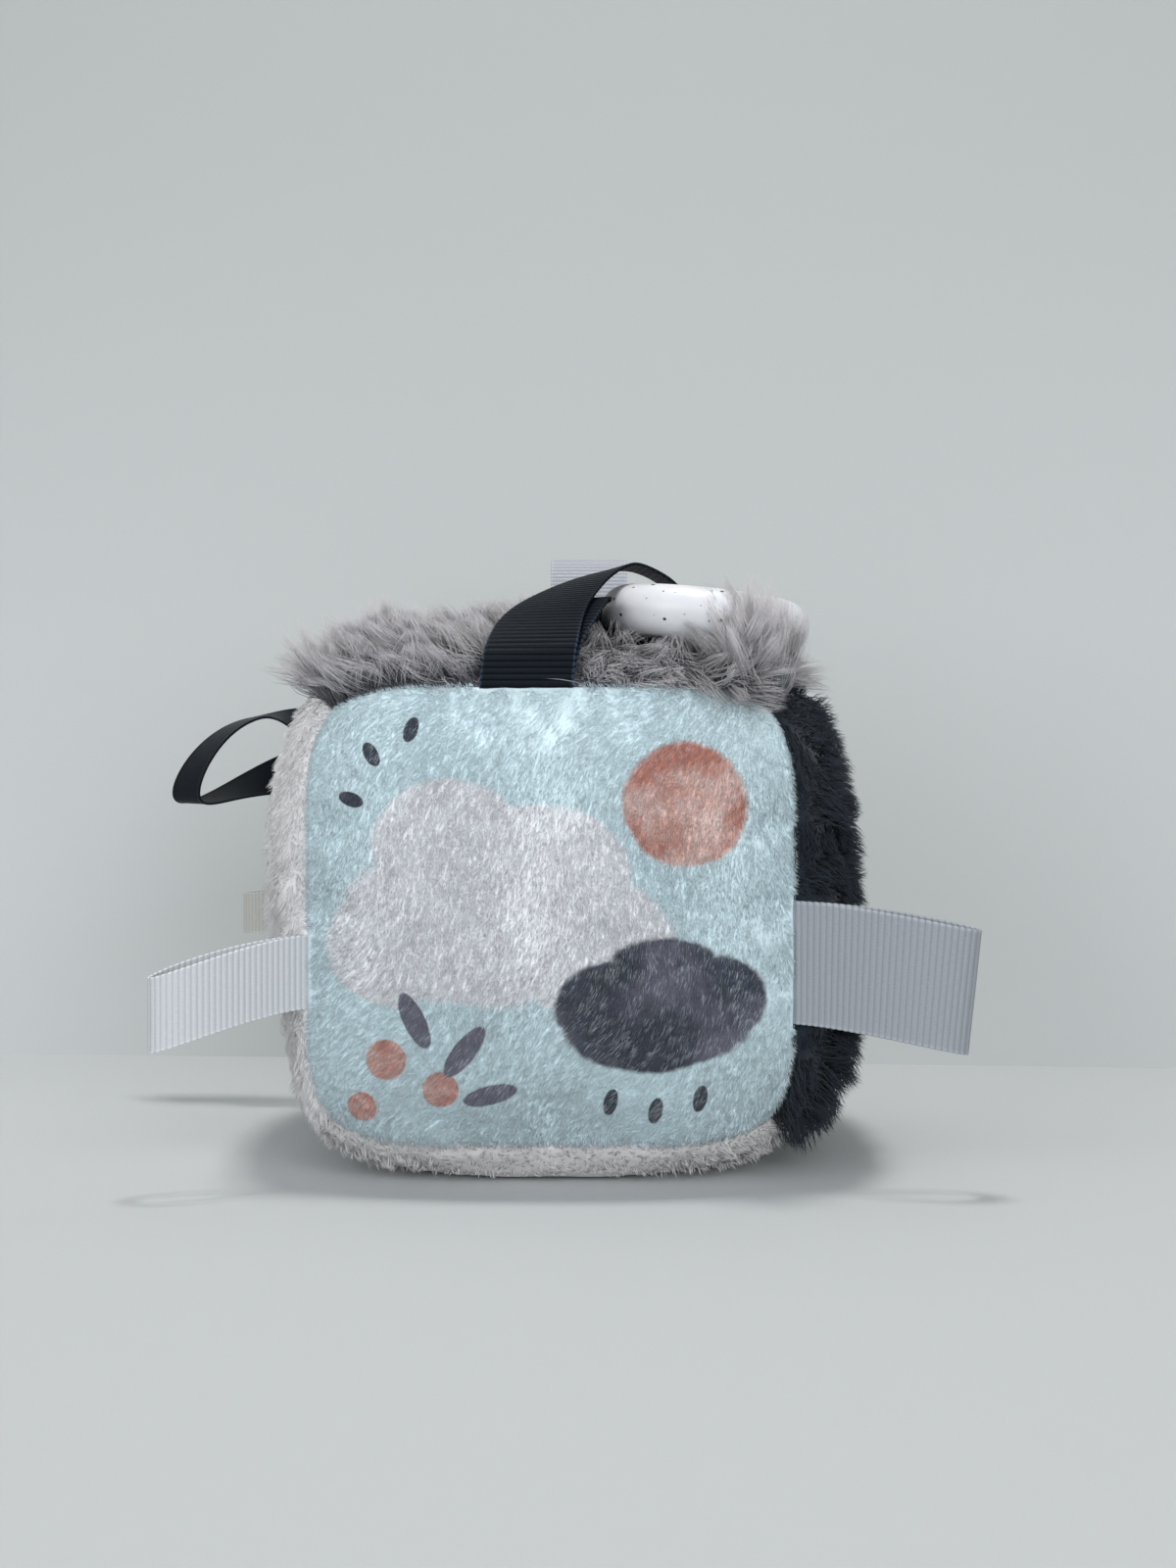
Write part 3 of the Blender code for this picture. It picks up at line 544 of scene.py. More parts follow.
def build_groups():
    """The node groups that several materials share."""
    tree, given, out = new_group(
        "Cloth tone",
        {"Vector": ("Vector", (0, 0, 0)), "Color": ("Color", (1, 1, 1, 1)), "Patch": ("Float", 0.2),
         "Grain": ("Float", 0.2)},
        {"Color": "Color", "Height": "Float"})
    grain = noise_value(tree, given["Vector"], 900, 4, 0.7)
    tone = centred(tree, noise_value(tree, given["Vector"], 70, 3), given["Patch"])
    level = calculate(tree, "ADD", calculate(tree, "ADD", tone, centred(tree, grain, given["Grain"])), 1)
    tree.links.new(shaded(tree, given["Color"], level), out["Color"])
    tree.links.new(grain, out["Height"])

    tree, given, out = new_group(
        "Strand tone",
        {"Color": ("Color", (1, 1, 1, 1)), "Root": ("Float", 0.5), "Tip": ("Float", 1.1),
         "Uneven": ("Float", 0.3)},
        {"Color": "Color"})
    sockets = {"Value": attribute(tree, "tip"), "To Min": given["Root"], "To Max": given["Tip"]}
    rise = add_node(tree, "ShaderNodeMapRange", sockets).outputs[0]
    spread = calculate(tree, "ADD", centred(tree, attribute(tree, "tint"), given["Uneven"]), 1)
    tree.links.new(shaded(tree, given["Color"], calculate(tree, "MULTIPLY", rise, spread)), out["Color"])

    tree, given, out = new_group(
        "Painted blot",
        {"Vector": ("Vector", (0, 0, 0)), "Place": ("Vector", (0, 0, 0)), "Size": ("Vector", (1, 1, 1)),
         "Turn": ("Vector", (0, 0, 0)), "Wobble": ("Float", 0.0)},
        {"Mask": "Float"})
    sockets = {"Vector": given["Vector"], "Location": given["Place"], "Rotation": given["Turn"],
               "Scale": given["Size"]}
    mapped = add_node(tree, "ShaderNodeMapping", sockets, vector_type="TEXTURE").outputs[0]
    radius = add_node(tree, "ShaderNodeVectorMath", {0: mapped}, operation="LENGTH").outputs["Value"]
    warped = calculate(tree, "ADD", radius, given["Wobble"])
    tree.links.new(map_range(tree, warped, 0.94, 1.06, 1.0, 0.0), out["Mask"])

    tree, given, out = new_group(
        "Ribbon weave",
        {"Color": ("Color", (1, 1, 1, 1)), "Pitch": ("Float", 0.001), "Half": ("Float", 0.01),
         "Groove": ("Float", 0.74), "Ridge": ("Float", 1.04), "Shine": ("Float", 0.3)},
        {"Color": "Color", "Height": "Float", "Roughness": "Float"})
    weave = attribute(tree, "weave", "Vector")
    split = add_node(tree, "ShaderNodeSeparateXYZ", {0: weave}).outputs
    turns = calculate(tree, "DIVIDE", split[0], given["Pitch"])
    rib = calculate(tree, "ABSOLUTE", calculate(tree, "SINE", calculate(tree, "MULTIPLY", turns, math.pi)))
    yarn = yarns(tree, weave, (900, 6500, 1), 2)
    edge = calculate(tree, "DIVIDE", calculate(tree, "ABSOLUTE", split[1]), given["Half"])
    # Painted glints: the loops along the selvedge are lit up on each rib, where light would catch them
    loops = calculate(tree, "MULTIPLY", map_range(tree, edge, 0.93, 0.99), rib)
    # Painted shade in the grooves and painted highlights on the ridge tops
    tone = map_range(tree, rib, 0.05, 0.75, given["Groove"], given["Ridge"])
    level = calculate(tree, "ADD", tone, centred(tree, yarn, 0.3))
    level = calculate(tree, "MULTIPLY_ADD", loops, given["Shine"], level)
    tree.links.new(shaded(tree, given["Color"], level), out["Color"])
    tree.links.new(calculate(tree, "MULTIPLY_ADD", yarn, 0.4, rib), out["Height"])
    tree.links.new(map_range(tree, yarn, 0.3, 0.7, 0.6, 0.42), out["Roughness"])


def bumped(tree, shader, height, strength, distance):
    """Feeds a height to a shader through a Bump node."""
    bump = add_node(tree, "ShaderNodeBump", {"Height": height, "Strength": strength, "Distance": distance})
    tree.links.new(bump.outputs[0], shader["Normal"])


# The print: rounded blots in layers, as (x, z), (half width, half height) and turn in degrees
PRINT = {
    "cream": (
        (-0.013, 0.056, 0.029, 0.018, 4), (-0.031, 0.050, 0.014, 0.012, 0), (0.008, 0.050, 0.018, 0.014, -8),
        (-0.021, 0.071, 0.015, 0.012, 10), (0.000, 0.067, 0.016, 0.011, -12)),
    "dark": (
        (0.022, 0.034, 0.019, 0.009, 3), (0.033, 0.039, 0.010, 0.009, 0), (0.012, 0.038, 0.011, 0.009, 0),
        (0.023, 0.043, 0.012, 0.009, 0)),
    "sun": ((0.027, 0.078, 0.0125, 0.0125, 0),),
    "drops": (
        (0.012, 0.0185, 0.0014, 0.0028, -12), (0.021, 0.0165, 0.0014, 0.0028, -12),
        (0.030, 0.0190, 0.0014, 0.0028, -12), (-0.036, 0.088, 0.0014, 0.0026, 30),
        (-0.028, 0.093, 0.0014, 0.0026, -20), (-0.040, 0.079, 0.0014, 0.0026, 70)),
    "berries": (
        (-0.033, 0.027, 0.0042, 0.0042, 0), (-0.022, 0.021, 0.0036, 0.0036, 0),
        (-0.038, 0.017, 0.0030, 0.0030, 0)),
    "leaves": (
        (-0.017, 0.029, 0.0022, 0.0062, -38), (-0.027, 0.035, 0.0022, 0.0060, 25),
        (-0.012, 0.020, 0.0020, 0.0055, -75)),
}


def printed_colour(tree, vector, colours):
    """The front panel's print: a pale cloud, a dark one, a sun, drops and a sprig on blue."""
    split = add_node(tree, "ShaderNodeSeparateXYZ", {0: vector}).outputs
    flat = add_node(tree, "ShaderNodeCombineXYZ", {0: split[0], 1: split[2]}).outputs[0]
    ragged = centred(tree, noise_value(tree, flat, 500, 3), 0.12)
    wobble = calculate(tree, "ADD", ragged, centred(tree, noise_value(tree, flat, 60, 2), 0.25))
    wash = map_range(tree, noise_value(tree, flat, 55, 3), 0.42, 0.62)
    fine_wash = map_range(tree, noise_value(tree, flat, 160, 4), 0.35, 0.7)
    paints = {
        "cream": blend_colours(tree, fine_wash, rgb(colours.cream), rgb([0.9 * c for c in colours.cream])),
        "dark": blend_colours(tree, wash, rgb(colours.charcoal), rgb(colours.mauve)),
        "sun": blend_colours(tree, wash, rgb(colours.coral), rgb(colours.peach)),
        "drops": rgb(colours.charcoal),
        "berries": blend_colours(tree, fine_wash, rgb(colours.coral), rgb(colours.peach)),
        "leaves": rgb(colours.mauve),
    }
    ground = rgb(colours.blue)
    for layer, blots in PRINT.items():
        mask = None
        for x, z, half_width, half_height, turn in blots:
            blot = use_group(tree, "Painted blot", {
                "Vector": flat, "Place": (x, z, 0), "Size": (half_width, half_height, 1),
                "Turn": (0, 0, math.radians(turn)), "Wobble": wobble})["Mask"]
            mask = blot if mask is None else calculate(tree, "MAXIMUM", mask, blot)
        ground = blend_colours(tree, mask, ground, paints[layer])
    frosted = map_range(tree, attribute(tree, "tint"), 0.55, 0.9, 0.0, 0.45)
    return blend_colours(tree, frosted, ground, rgb(colours.frost))


def fur_colour(tree, colours):
    """The fur's colour: dark roots and pale tips."""
    mix = map_range(tree, attribute(tree, "tip"), 0.05, 0.75)
    return blend_colours(tree, mix, rgb(colours.fur_root), rgb(colours.fur_tip))


def cloth_grounds(colours):
    """Each panel's ground by slot: a colour, or a function of the tree and the coordinates."""
    return {
        "blue_plush": lambda tree, vector: printed_colour(tree, vector, colours),
        "blush_plush": colours.blush,
        "dark_plush": colours.dark,
        "grey_fur": colours.fur_root,
        "warm_grey_plush": colours.warm_grey,
    }


def cloth_tone(tree, ground, patch, grain):
    """A ground made patchy and grainy, with the grain's height."""
    vector = object_coordinates(tree)
    base = ground(tree, vector) if callable(ground) else rgb(ground)
    return use_group(tree, "Cloth tone", {"Vector": vector, "Color": base, "Patch": patch, "Grain": grain})


def cloth_material(name, ground):
    """The knitted back of a plush, seen between its strands."""
    material, tree, shader = new_material(name, roughness=0.95, sheen_weight=0.2)
    tone = cloth_tone(tree, ground, 0.25, 0.3)
    tree.links.new(tone["Color"], shader["Base Color"])
    bumped(tree, shader, tone["Height"], 0.4, 0.0004)
    return material


def pile_material(name, ground, root, tip, uneven, roughness, sheen, patch=0.35):
    """A plush's strands: darker at the foot, lighter at the tip, each a little different."""
    material, tree, shader = new_material(name, roughness=roughness, sheen_weight=sheen)
    base = cloth_tone(tree, ground, patch, 0.0)["Color"]
    strand = use_group(tree, "Strand tone", {"Color": base, "Root": root, "Tip": tip, "Uneven": uneven})
    tree.links.new(strand["Color"], shader["Base Color"])
    return material


def ribbon_material(name, ground, pitch, half, selvedge_glint, groove_shade, ridge, bump, gloss):
    """Ribbed ribbon: painted shade in the grooves, painted highlights on the ridges, fine yarns and painted
    glints on the loops along the selvedge.
    """
    material, tree, shader = new_material(name, specular_ior_level=gloss)
    woven = use_group(tree, "Ribbon weave", {
        "Color": rgb(ground), "Pitch": pitch, "Half": half, "Groove": groove_shade, "Ridge": ridge, "Shine": selvedge_glint})
    tree.links.new(woven["Color"], shader["Base Color"])
    tree.links.new(woven["Roughness"], shader["Roughness"])
    bumped(tree, shader, woven["Height"], bump, 0.0002)
    return material


def satin_material(name, ground):
    """Smooth satin: a close sheen broken by fine warp yarns."""
    material, tree, shader = new_material(name, specular_ior_level=0.07)
    yarn = yarns(tree, attribute(tree, "weave", "Vector"), (400, 7000, 1), 3)
    tree.links.new(map_range(tree, yarn, 0.3, 0.7, 0.48, 0.34), shader["Roughness"])
    tone = blend_colours(tree, yarn, rgb(ground), rgb([1.8 * c for c in ground]))
    tree.links.new(tone, shader["Base Color"])
    bumped(tree, shader, yarn, 0.35, 0.0001)
    return material


def ring_material(colours):
    """Satin silicone with scattered black specks and a few faint ones under the skin."""
    material, tree, shader = new_material("speckled silicone", subsurface_weight=0.12, subsurface_scale=0.003,
                                          coat_weight=0.15, coat_roughness=0.25)
    vector = object_coordinates(tree)
    cloudy = map_range(tree, noise_value(tree, vector, 120, 2), 0.35, 0.65)
    ground = blend_colours(tree, cloudy, rgb(colours.ring), rgb([0.94 * c for c in colours.ring]))
    round_ring = attribute(tree, "weave", "Vector")
    for scale, size, kept, strength, depth in ((270, 0.10, 0.5, 0.97, 0.01), (430, 0.07, 0.3, 0.6, 0.12)):
        sockets = {"Vector": round_ring, "Scale": scale, "Randomness": 1.0}
        cells = add_node(tree, "ShaderNodeTexVoronoi", sockets, voronoi_dimensions="2D").outputs
        chance = add_node(tree, "ShaderNodeSeparateColor", {0: cells["Color"]}).outputs
        limit = calculate(tree, "MULTIPLY", calculate(tree, "ADD", chance[1], 0.45), size)
        inside = calculate(tree, "LESS_THAN", cells["Distance"], limit)
        chosen = calculate(tree, "LESS_THAN", chance[0], kept)
        mask = calculate(tree, "MULTIPLY", calculate(tree, "MULTIPLY", inside, chosen), strength)
        ground = blend_colours(tree, mask, ground, (depth, depth, depth * 1.1, 1))
    tree.links.new(ground, shader["Base Color"])
    matt = map_range(tree, noise_value(tree, vector, 300, 2), 0.3, 0.7, 0.34, 0.46)
    tree.links.new(matt, shader["Roughness"])
    return material


# The cover


def spread_even(values):
    """Panel coordinates from -1 to 1, drawn closer together near the seams."""
    return EVEN_SHARE * values + (1 - EVEN_SHARE) * np.sin(np.pi / 2 * values)


def panel_points(panel, u, v, sizes):
    """Points of a panel's outside: it swells between seams drawn in at the corners, and lies flat below."""
    half = np.array((sizes.width, sizes.depth, sizes.height)) / 2
    across, along, outward = (np.array(axis) for axis in panel[:3])
    reach_u, reach_v, reach_out = (half @ abs(axis) for axis in (across, along, outward))
    draw = sizes.corner_draw
    low = v + panel.sag * (1 - v * v)
    swell = np.maximum(0, (1 - u * u) * (1 - low * low)) ** panel.power
    height = reach_out - draw * abs(u * v) ** CORNER_POWER + getattr(sizes, panel.crown) * swell
    if outward[2] < 0:
        height = np.minimum(height, half[2] + sizes.lift)
    wide = (reach_u - draw) * u + draw * (1 - abs(v) ** CORNER_POWER) * u ** 3
    tall = (reach_v - draw) * v + draw * (1 - abs(u) ** CORNER_POWER) * v ** 3
    centre = np.array((0, 0, sizes.lift + half[2]))
    return centre + np.outer(wide, across) + np.outer(tall, along) + np.outer(height, outward)


def make_cover(sizes):
    """One closed cover, shaped from a finely cut cube, and each panel's grid of points in it."""
    deselect()
    bpy.ops.mesh.primitive_cube_add(size=2)
    cover = bpy.context.object
    in_edit_mode(cover, bpy.ops.mesh.subdivide, number_cuts=PANEL_CELLS - 1)
    cube = points_of(cover.data)
    shaped, grids = cube.copy(), {}
    for name, panel in PANELS.items():
        across, along, outward = (np.array(axis) for axis in panel[:3])
        found = np.flatnonzero(cube @ outward > 0.999)
        u, v = cube[found] @ across, cube[found] @ along
        grid = np.zeros((PANEL_CELLS + 1, PANEL_CELLS + 1), int)
        columns, rows = (np.rint((place + 1) / 2 * PANEL_CELLS).astype(int) for place in (u, v))
        grid[columns, rows] = found
        grids[name] = grid
        shaped[found] = panel_points(panel, spread_even(u), spread_even(v), sizes)
    set_points(cover.data, shaped)
    return cover, grids


def settle(cover, grids, sizes):
    """Lets the filled cover swell and wrinkle between its seams, as cloth."""
    before = points_of(cover.data)
    held = set(np.flatnonzero(before[:, 2] < FLOOR_TOUCH).tolist())
    for grid in grids.values():
        held |= set(grid[[0, -1]].ravel().tolist()) | set(grid[:, [0, -1]].ravel().tolist())
    seams = cover.vertex_groups.new(name="seams")
    seams.add(sorted(held), 1, "REPLACE")
    cloth = cover.modifiers.new("Cloth", "CLOTH").settings
    cloth.vertex_group_mass = seams.name
    cloth.use_pressure = True
    cloth.uniform_pressure_force = sizes.pressure
    cloth.shrink_min = -sizes.spare
    cloth.effector_weights.gravity = 0
    for number in range(1, SETTLE_FRAMES + 1):
        bpy.context.scene.frame_set(number)
    apply_modifiers(cover)
    bpy.context.scene.frame_set(1)
    moved = points_of(cover.data) - before
    far = np.linalg.norm(moved, axis=1, keepdims=True)
    after = before + moved * np.minimum(1, sizes.reach / np.maximum(far, 1e-9))
    after[:, 2] = np.maximum(after[:, 2], before[:, 2].min())
    set_points(cover.data, after)


def shell(name, outside, inside, **attributes):
    """A closed piece of cloth or ribbon between two grids of points."""
    rows, columns = outside.shape[:2]
    outer = np.arange(rows * columns).reshape(rows, columns)
    quads = []
    for grid, flip in ((outer, 1), (outer + outer.size, -1)):
        faces = np.stack((grid[:-1, :-1], grid[1:, :-1], grid[1:, 1:], grid[:-1, 1:]), -1).reshape(-1, 4)
        quads.append(faces[:, ::flip])
    rim = np.concatenate((outer[:-1, 0], outer[-1, :-1], outer[:0:-1, -1], outer[0, :0:-1]))
    after = np.roll(rim, -1)
    quads.append(np.stack((rim, rim + outer.size, after + outer.size, after), -1))
    points = np.concatenate((outside.reshape(-1, 3), inside.reshape(-1, 3)))
    return mesh_object(name, points, np.concatenate(quads), **attributes)


# Pile and fur


def roots_on(surface, count, rng):
    """Places spread evenly over a panel's grid of points, with the normals and panel coordinates there."""
    cells = surface.shape[0] - 1
    one, two = surface[1:, 1:] - surface[:-1, :-1], surface[:-1, 1:] - surface[1:, :-1]
    area = np.linalg.norm(np.cross(one, two), axis=-1).ravel()
    edges = np.cumsum(area) / area.sum()
    picks = (np.arange(count) + rng.random(count)) / count
    column, row = np.divmod(np.minimum(np.searchsorted(edges, picks), cells ** 2 - 1), cells)
    s, t = rng.random((2, count, 1))
    normals = unit(np.cross(np.gradient(surface, axis=0), np.gradient(surface, axis=1)))

    def between(grid):
        low = grid[column, row] * (1 - s) + grid[column + 1, row] * s
        high = grid[column, row + 1] * (1 - s) + grid[column + 1, row + 1] * s
        return low * (1 - t) + high * t

    places = np.column_stack((column + s[:, 0], row + t[:, 0])) * 2 / cells - 1
    return between(surface), unit(between(normals)), places


def search_tree(places):
    """A tree that finds the nearest of the places."""
    tree = KDTree(len(places))
    for index, place in enumerate(places):
        tree.insert(place, index)
    tree.balance()
    return tree


def nearest(points, places):
    """For each point, the index of the nearest place."""
    tree = search_tree(places)
    return np.array([tree.find(point)[1] for point in points])


def strand_paths(pile, roots, normals, combs, lengths, leans, rng):
    """The strands' lines, which lean, bend over and draw together in clumps, and the strands' shades."""
    count = len(roots)
    t = np.linspace(0, 1, pile.segments + 1)[None, :, None]
    in_clump = max(1, int(count * pile.clump ** 2 / pile_area(roots)))
    leaders = rng.choice(count, max(FEWEST_CLUMPS, count // in_clump), replace=False)
    chosen = leaders[nearest(roots, roots[leaders])]
    combs = unit(combs - normals * (combs * normals).sum(1, keepdims=True) * COMB_LAID)
    stand = normals * np.cos(leans)[:, None] + combs * np.sin(leans)[:, None]
    own_way = rng.normal(0, pile.stray, (count, 3))[chosen]
    stand = unit(stand + own_way + rng.normal(0, pile.spread, (count, 3)))
    away = np.linalg.norm(roots - roots[chosen], axis=1) / pile.clump
    lengths = lengths * (1 - pile.dome * np.minimum(away ** 2, 1))
    reach = (lengths * rng.uniform(1 - pile.uneven, 1, count))[:, None, None]
    paths = roots[:, None] + reach * (stand[:, None] * t + combs[:, None] * pile.bend * t ** 2)
    paths += (paths[chosen] - paths) * (pile.pull * t ** PULL_POWER)
    shades = (rng.random(count)[chosen] + rng.random(count)) / 2
    if pile.curl:
        turn = (rng.random(count) * math.tau)[:, None] + t[:, :, 0] * CURL_TURN
        sideways = unit(np.cross(stand, combs + 0.01))
        paths += (sideways[:, None] * np.sin(turn)[..., None] + combs[:, None] * np.cos(turn)[..., None]
                  - combs[:, None]) * (pile.curl * t)
    return paths, shades


def pile_area(roots):
    """About how much cloth the roots stand on."""
    sides = sorted(roots.max(0) - roots.min(0))
    return sides[1] * sides[2]


def strands(name, paths, shades, radius, rng):
    """One mesh of thin three-sided strands, pointed at the tip and closed at the foot."""
    count, stations = paths.shape[:2]
    rings = stations - 1
    ahead = unit(np.gradient(paths, axis=1))
    side = unit(np.cross(ahead, rng.normal(size=(count, 1, 3))))
    other = np.cross(ahead, side)
    shares = np.linspace(0, 1, stations)
    girth = radius * (1 - TAPER * shares[:-1] ** TAPER_POWER)
    points = np.empty((count, rings * 3 + 1, 3))
    for corner in range(3):
        angle = math.tau * corner / 3
        around = side * math.cos(angle) + other * math.sin(angle)
        points[:, corner:-1:3] = paths[:, :-1] + around[:, :-1] * girth[None, :, None]
    points[:, -1] = paths[:, -1]
    quads, triangles = [], [(0, 2, 1)]
    for corner in range(3):
        following = (corner + 1) % 3
        for low in range(0, rings * 3 - 3, 3):
            quads.append((low + corner, low + following, low + 3 + following, low + 3 + corner))
        triangles.append((rings * 3 - 3 + corner, rings * 3 - 3 + following, rings * 3))
    offsets = np.arange(count)[:, None, None] * (rings * 3 + 1)
    tip = np.tile(np.append(np.repeat(shares[:-1], 3), 1), count)
    tint = np.repeat(shades, rings * 3 + 1)
    return mesh_object(name, points.reshape(-1, 3), np.array(quads)[None] + offsets,
                       np.array(triangles)[None] + offsets, tip=tip, tint=tint)


def grow_pile(panel_name):
    """A panel's short pile, in one or more pieces: a little longer low down, where it hasn't been pressed."""
    pile = PILES[panel_name]
    swirl = np.random.default_rng(pile.seed).normal(0, SWIRL_SCALE, (3, 3))
    pieces = []
    for number in range(pile.pieces):
        rng = np.random.default_rng(pile.seed + 100 * number)
        roots, normals, places = roots_on(SURFACES[panel_name], pile.count, rng)
        lifted = roots[:, 2] > PILE_START
        roots, normals, places = roots[lifted], normals[lifted], places[lifted]
        rim = np.clip(abs(places) * 5 - 4, 0, 1) ** 2
        outwards = np.sign(places) * rim * (SEAM_TURN / pile.length)
        combs = np.array(pile.comb) + np.sin(roots @ swirl) * SWIRL_LEAN
        combs += outwards @ np.array(PANELS[panel_name][:2])
        height = roots[:, 2]
        lengths = pile.length * (LOW_LENGTH - PRESSED_SHARE * np.clip(height / PRESSED_HEIGHT, 0, 1))
        lengths *= (1 - SEAM_SHORTENING * rim.max(1)) * np.clip(height / FLOOR_PILE_HEIGHT, 0.2, 1)
        leans = np.full(len(roots), math.radians(pile.lean))
        paths, shades = strand_paths(pile, roots, normals, combs, lengths, leans, rng)
        paths[..., 2] = np.maximum(paths[..., 2], FLOOR_GAP)
        for lines in RIBBON_LINES.values():
            clear_of(paths, lines, min(RIBBON_GAP, pile.length / 2))
        name = panel_name.replace("_panel", "_pile")
        name = f"{name}_{number + 1}" if pile.pieces > 1 else name
        pieces.append(strands(name, paths, shades, pile.radius, rng))
    return pieces


def ring_frame():
    """The ring's place: where its ribbon holds it, the way out there, its upside and its middle."""
    joint = JOINTS["ring_swing"]
    tangent, held = Vector(joint["axis"]).normalized(), Vector(joint["pos_m"])
    low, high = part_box("speckled_ring")
    middle = (low + high) / 2
    up = tangent.cross(middle - held).normalized()
    if up.z < 0:
        up = -up
    out = (held - middle).normalized()
    return held, out, up, middle


def clear_of_ring(paths, sizes):
    """Presses strands aside where the ring lies in them."""
    _, _, up, middle = (np.array(vector) for vector in ring_frame())
    off = paths - middle
    height = off @ up
    flat = off - height[..., None] * up
    reach = np.linalg.norm(flat, axis=-1)
    radial = flat / np.maximum(reach, 1e-9)[..., None]
    across = reach - sizes.radius
    distance = np.hypot(across, height)
    girth = sizes.tube + RING_GAP
    inside = distance < girth
    push = np.where(inside, girth / np.maximum(distance, 1e-6) - 1, 0)
    paths += radial * (across * push)[..., None] + up * (height * push)[..., None]


def clear_of(paths, obstacles, gap):
    """Shortens strands that would come through a ribbon."""
    tree = search_tree(obstacles)
    low, high = obstacles.min(0) - gap, obstacles.max(0) + gap
    last = paths.shape[1] - 1
    near = np.flatnonzero(((paths > low) & (paths < high)).all(-1).any(1))
    for strand in near:
        line = paths[strand]
        for step in range(1, last * CHECKS_PER_SEGMENT + 1):
            k = min(step // CHECKS_PER_SEGMENT, last - 1)
            spot = line[k] + (line[k + 1] - line[k]) * (step / CHECKS_PER_SEGMENT - k)
            if tree.find(spot)[2] < gap:
                kept = max(0.1, (step - 2) / last / CHECKS_PER_SEGMENT)
                paths[strand] = line[0] + (line - line[0]) * kept
                break


def grow_fur(obstacles, ring_sizes):
    """The top panel's long fur, in a few pieces, brushed by place and kept off the ring and ribbons."""
    fur, surface = PILES["top_fur_panel"], SURFACES["top_fur_panel"]
    pieces = []
    for number in range(fur.pieces):
        rng = np.random.default_rng(fur.seed + number)
        roots, normals, _ = roots_on(surface, fur.count, rng)
        if number < len(TUFTS):
            x, y, reach, count = TUFTS[number]
            spots, ways, _ = roots_on(surface, count * TUFT_TRIES, rng)
            inside = np.flatnonzero(np.hypot(spots[:, 0] - x, spots[:, 1] - y) < reach)[:count]
            roots, normals = np.concatenate((roots, spots[inside])), np.concatenate((normals, ways[inside]))
        flow = roots[:, :2] * FUR_PARTING + np.sin(roots[:, :2] @ FUR_WAVES) * WAVE_TURN
        combs = np.array(fur.comb) + np.column_stack((flow, np.zeros(len(roots))))
        lengths, leans = np.full(len(roots), fur.length), np.full(len(roots), math.radians(fur.lean))
        for brush in BRUSHES:
            away = np.hypot(roots[:, 0] - brush.x, roots[:, 1] - brush.y) / brush.reach
            weight = np.exp(-away ** 2)
            combs = combs * (1 - weight[:, None]) + np.array(brush.comb) * weight[:, None]
            lengths *= 1 + (brush.length - 1) * weight
            leans = leans * (1 - weight) + math.radians(brush.lean) * weight
        paths, shades = strand_paths(fur, roots, normals, combs, lengths, leans, rng)
        clear_of_ring(paths, ring_sizes)
        clear_of(paths, obstacles, FUR_RIBBON_GAP)
        pieces.append(strands(f"top_fur_{number + 1}", paths, shades, fur.radius, rng))
    return pieces


# Ribbons


def resample(stations, step):
    """Stations set evenly along a ribbon: centres, width directions, half widths and lengths so far."""
    centres, widths, halves = (np.array(column) for column in zip(*stations))
    gone = np.append(0, np.cumsum(np.linalg.norm(np.diff(centres, axis=0), axis=1)))
    wanted = np.linspace(0, gone[-1], max(4, int(round(gone[-1] / step))))
    centres, widths = (
        np.stack([np.interp(wanted, gone, axis) for axis in grid.T], 1) for grid in (centres, widths))
    return centres, unit(widths), np.interp(wanted, gone, halves), wanted


def smoothed(values, passes):
    """Values averaged with their neighbours, the two ends kept."""
    for _ in range(passes):
        values[1:-1] = (values[:-2] + values[1:-1] * 2 + values[2:]) / 4
    return values


def ribbon_piece(name, stations, thickness, pitch, rib, first_normal):
    """A ribbon with round ribs across it and a scalloped selvedge, closed all round, and its length."""
    centres, widths, halves, gone = resample(stations, (pitch or PLAIN_PITCH) / STATIONS_PER_RIB)
    centres = smoothed(centres, SMOOTHING_PASSES)
    normals = unit(np.cross(unit(np.gradient(centres, axis=0)), widths))
    if normals[0] @ np.array(first_normal) < 0:
        normals = -normals
    wave = np.abs(np.sin(np.pi * gone / pitch)) if pitch else np.ones(len(gone))
    across = np.sin(np.linspace(-np.pi / 2, np.pi / 2, RIBBON_COLUMNS))
    from_edge = 1 - abs(across)
    ridge = rib * wave[:, None] * np.clip(from_edge * RIB_FADE, 0, 1)
    bead = thickness * BEAD_SHARE * np.clip(1 - from_edge * BEAD_FADE, 0, 1)
    scallop = halves - SELVEDGE_SCALLOP * (1 - wave)
    lines = centres[:, None] + widths[:, None] * (scallop[:, None] * across)[..., None]
    lift = (thickness / 2 + ridge + bead)[..., None] * normals[:, None]
    weave = np.stack(np.broadcast_arrays(gone[:, None], halves[:, None] * across, 0), -1)
    piece = shell(name, lines + lift, lines - lift, weave=np.tile(weave.reshape(-1, 3), (2, 1)))
    in_edit_mode(piece, bpy.ops.mesh.normals_make_consistent, inside=False)
    RIBBON_LINES[name] = lines.reshape(-1, 3)
    return piece, gone[-1]


def sewn_in(stations, hinge, outward, side, along, width):
    """Stations with a ribbon's two ends added, deep in the seam."""
    inner = hinge - outward * SEWN_DEPTH
    return [(inner + side, along, width / 2), *stations, (inner - side, along, width / 2)]


def tab_stations(tab, hinge, reach, width, gap):
    """Stations round a tab: out of the seam, round its loose fold and back into the seam."""
    across = reach.cross(tab.along)
    stations = []
    for k in range(FOLD_STEPS + 1):
        turn = math.tau * k / FOLD_STEPS
        part = (1 - math.cos(turn)) / 2
        sideways = tab.belly * math.sin(turn) * part ** 0.7 + gap * math.cos(turn / 2)
        centre = reach * (tab.length * part) + across * sideways - UP * (tab.drop * part ** 1.5)
        direction = Matrix.Rotation(math.radians(tab.twist) * part, 3, across) @ tab.along
        stations.append((hinge + centre, direction, width / 2))
    return sewn_in(stations, hinge, tab.outward, across * gap, tab.along, width)


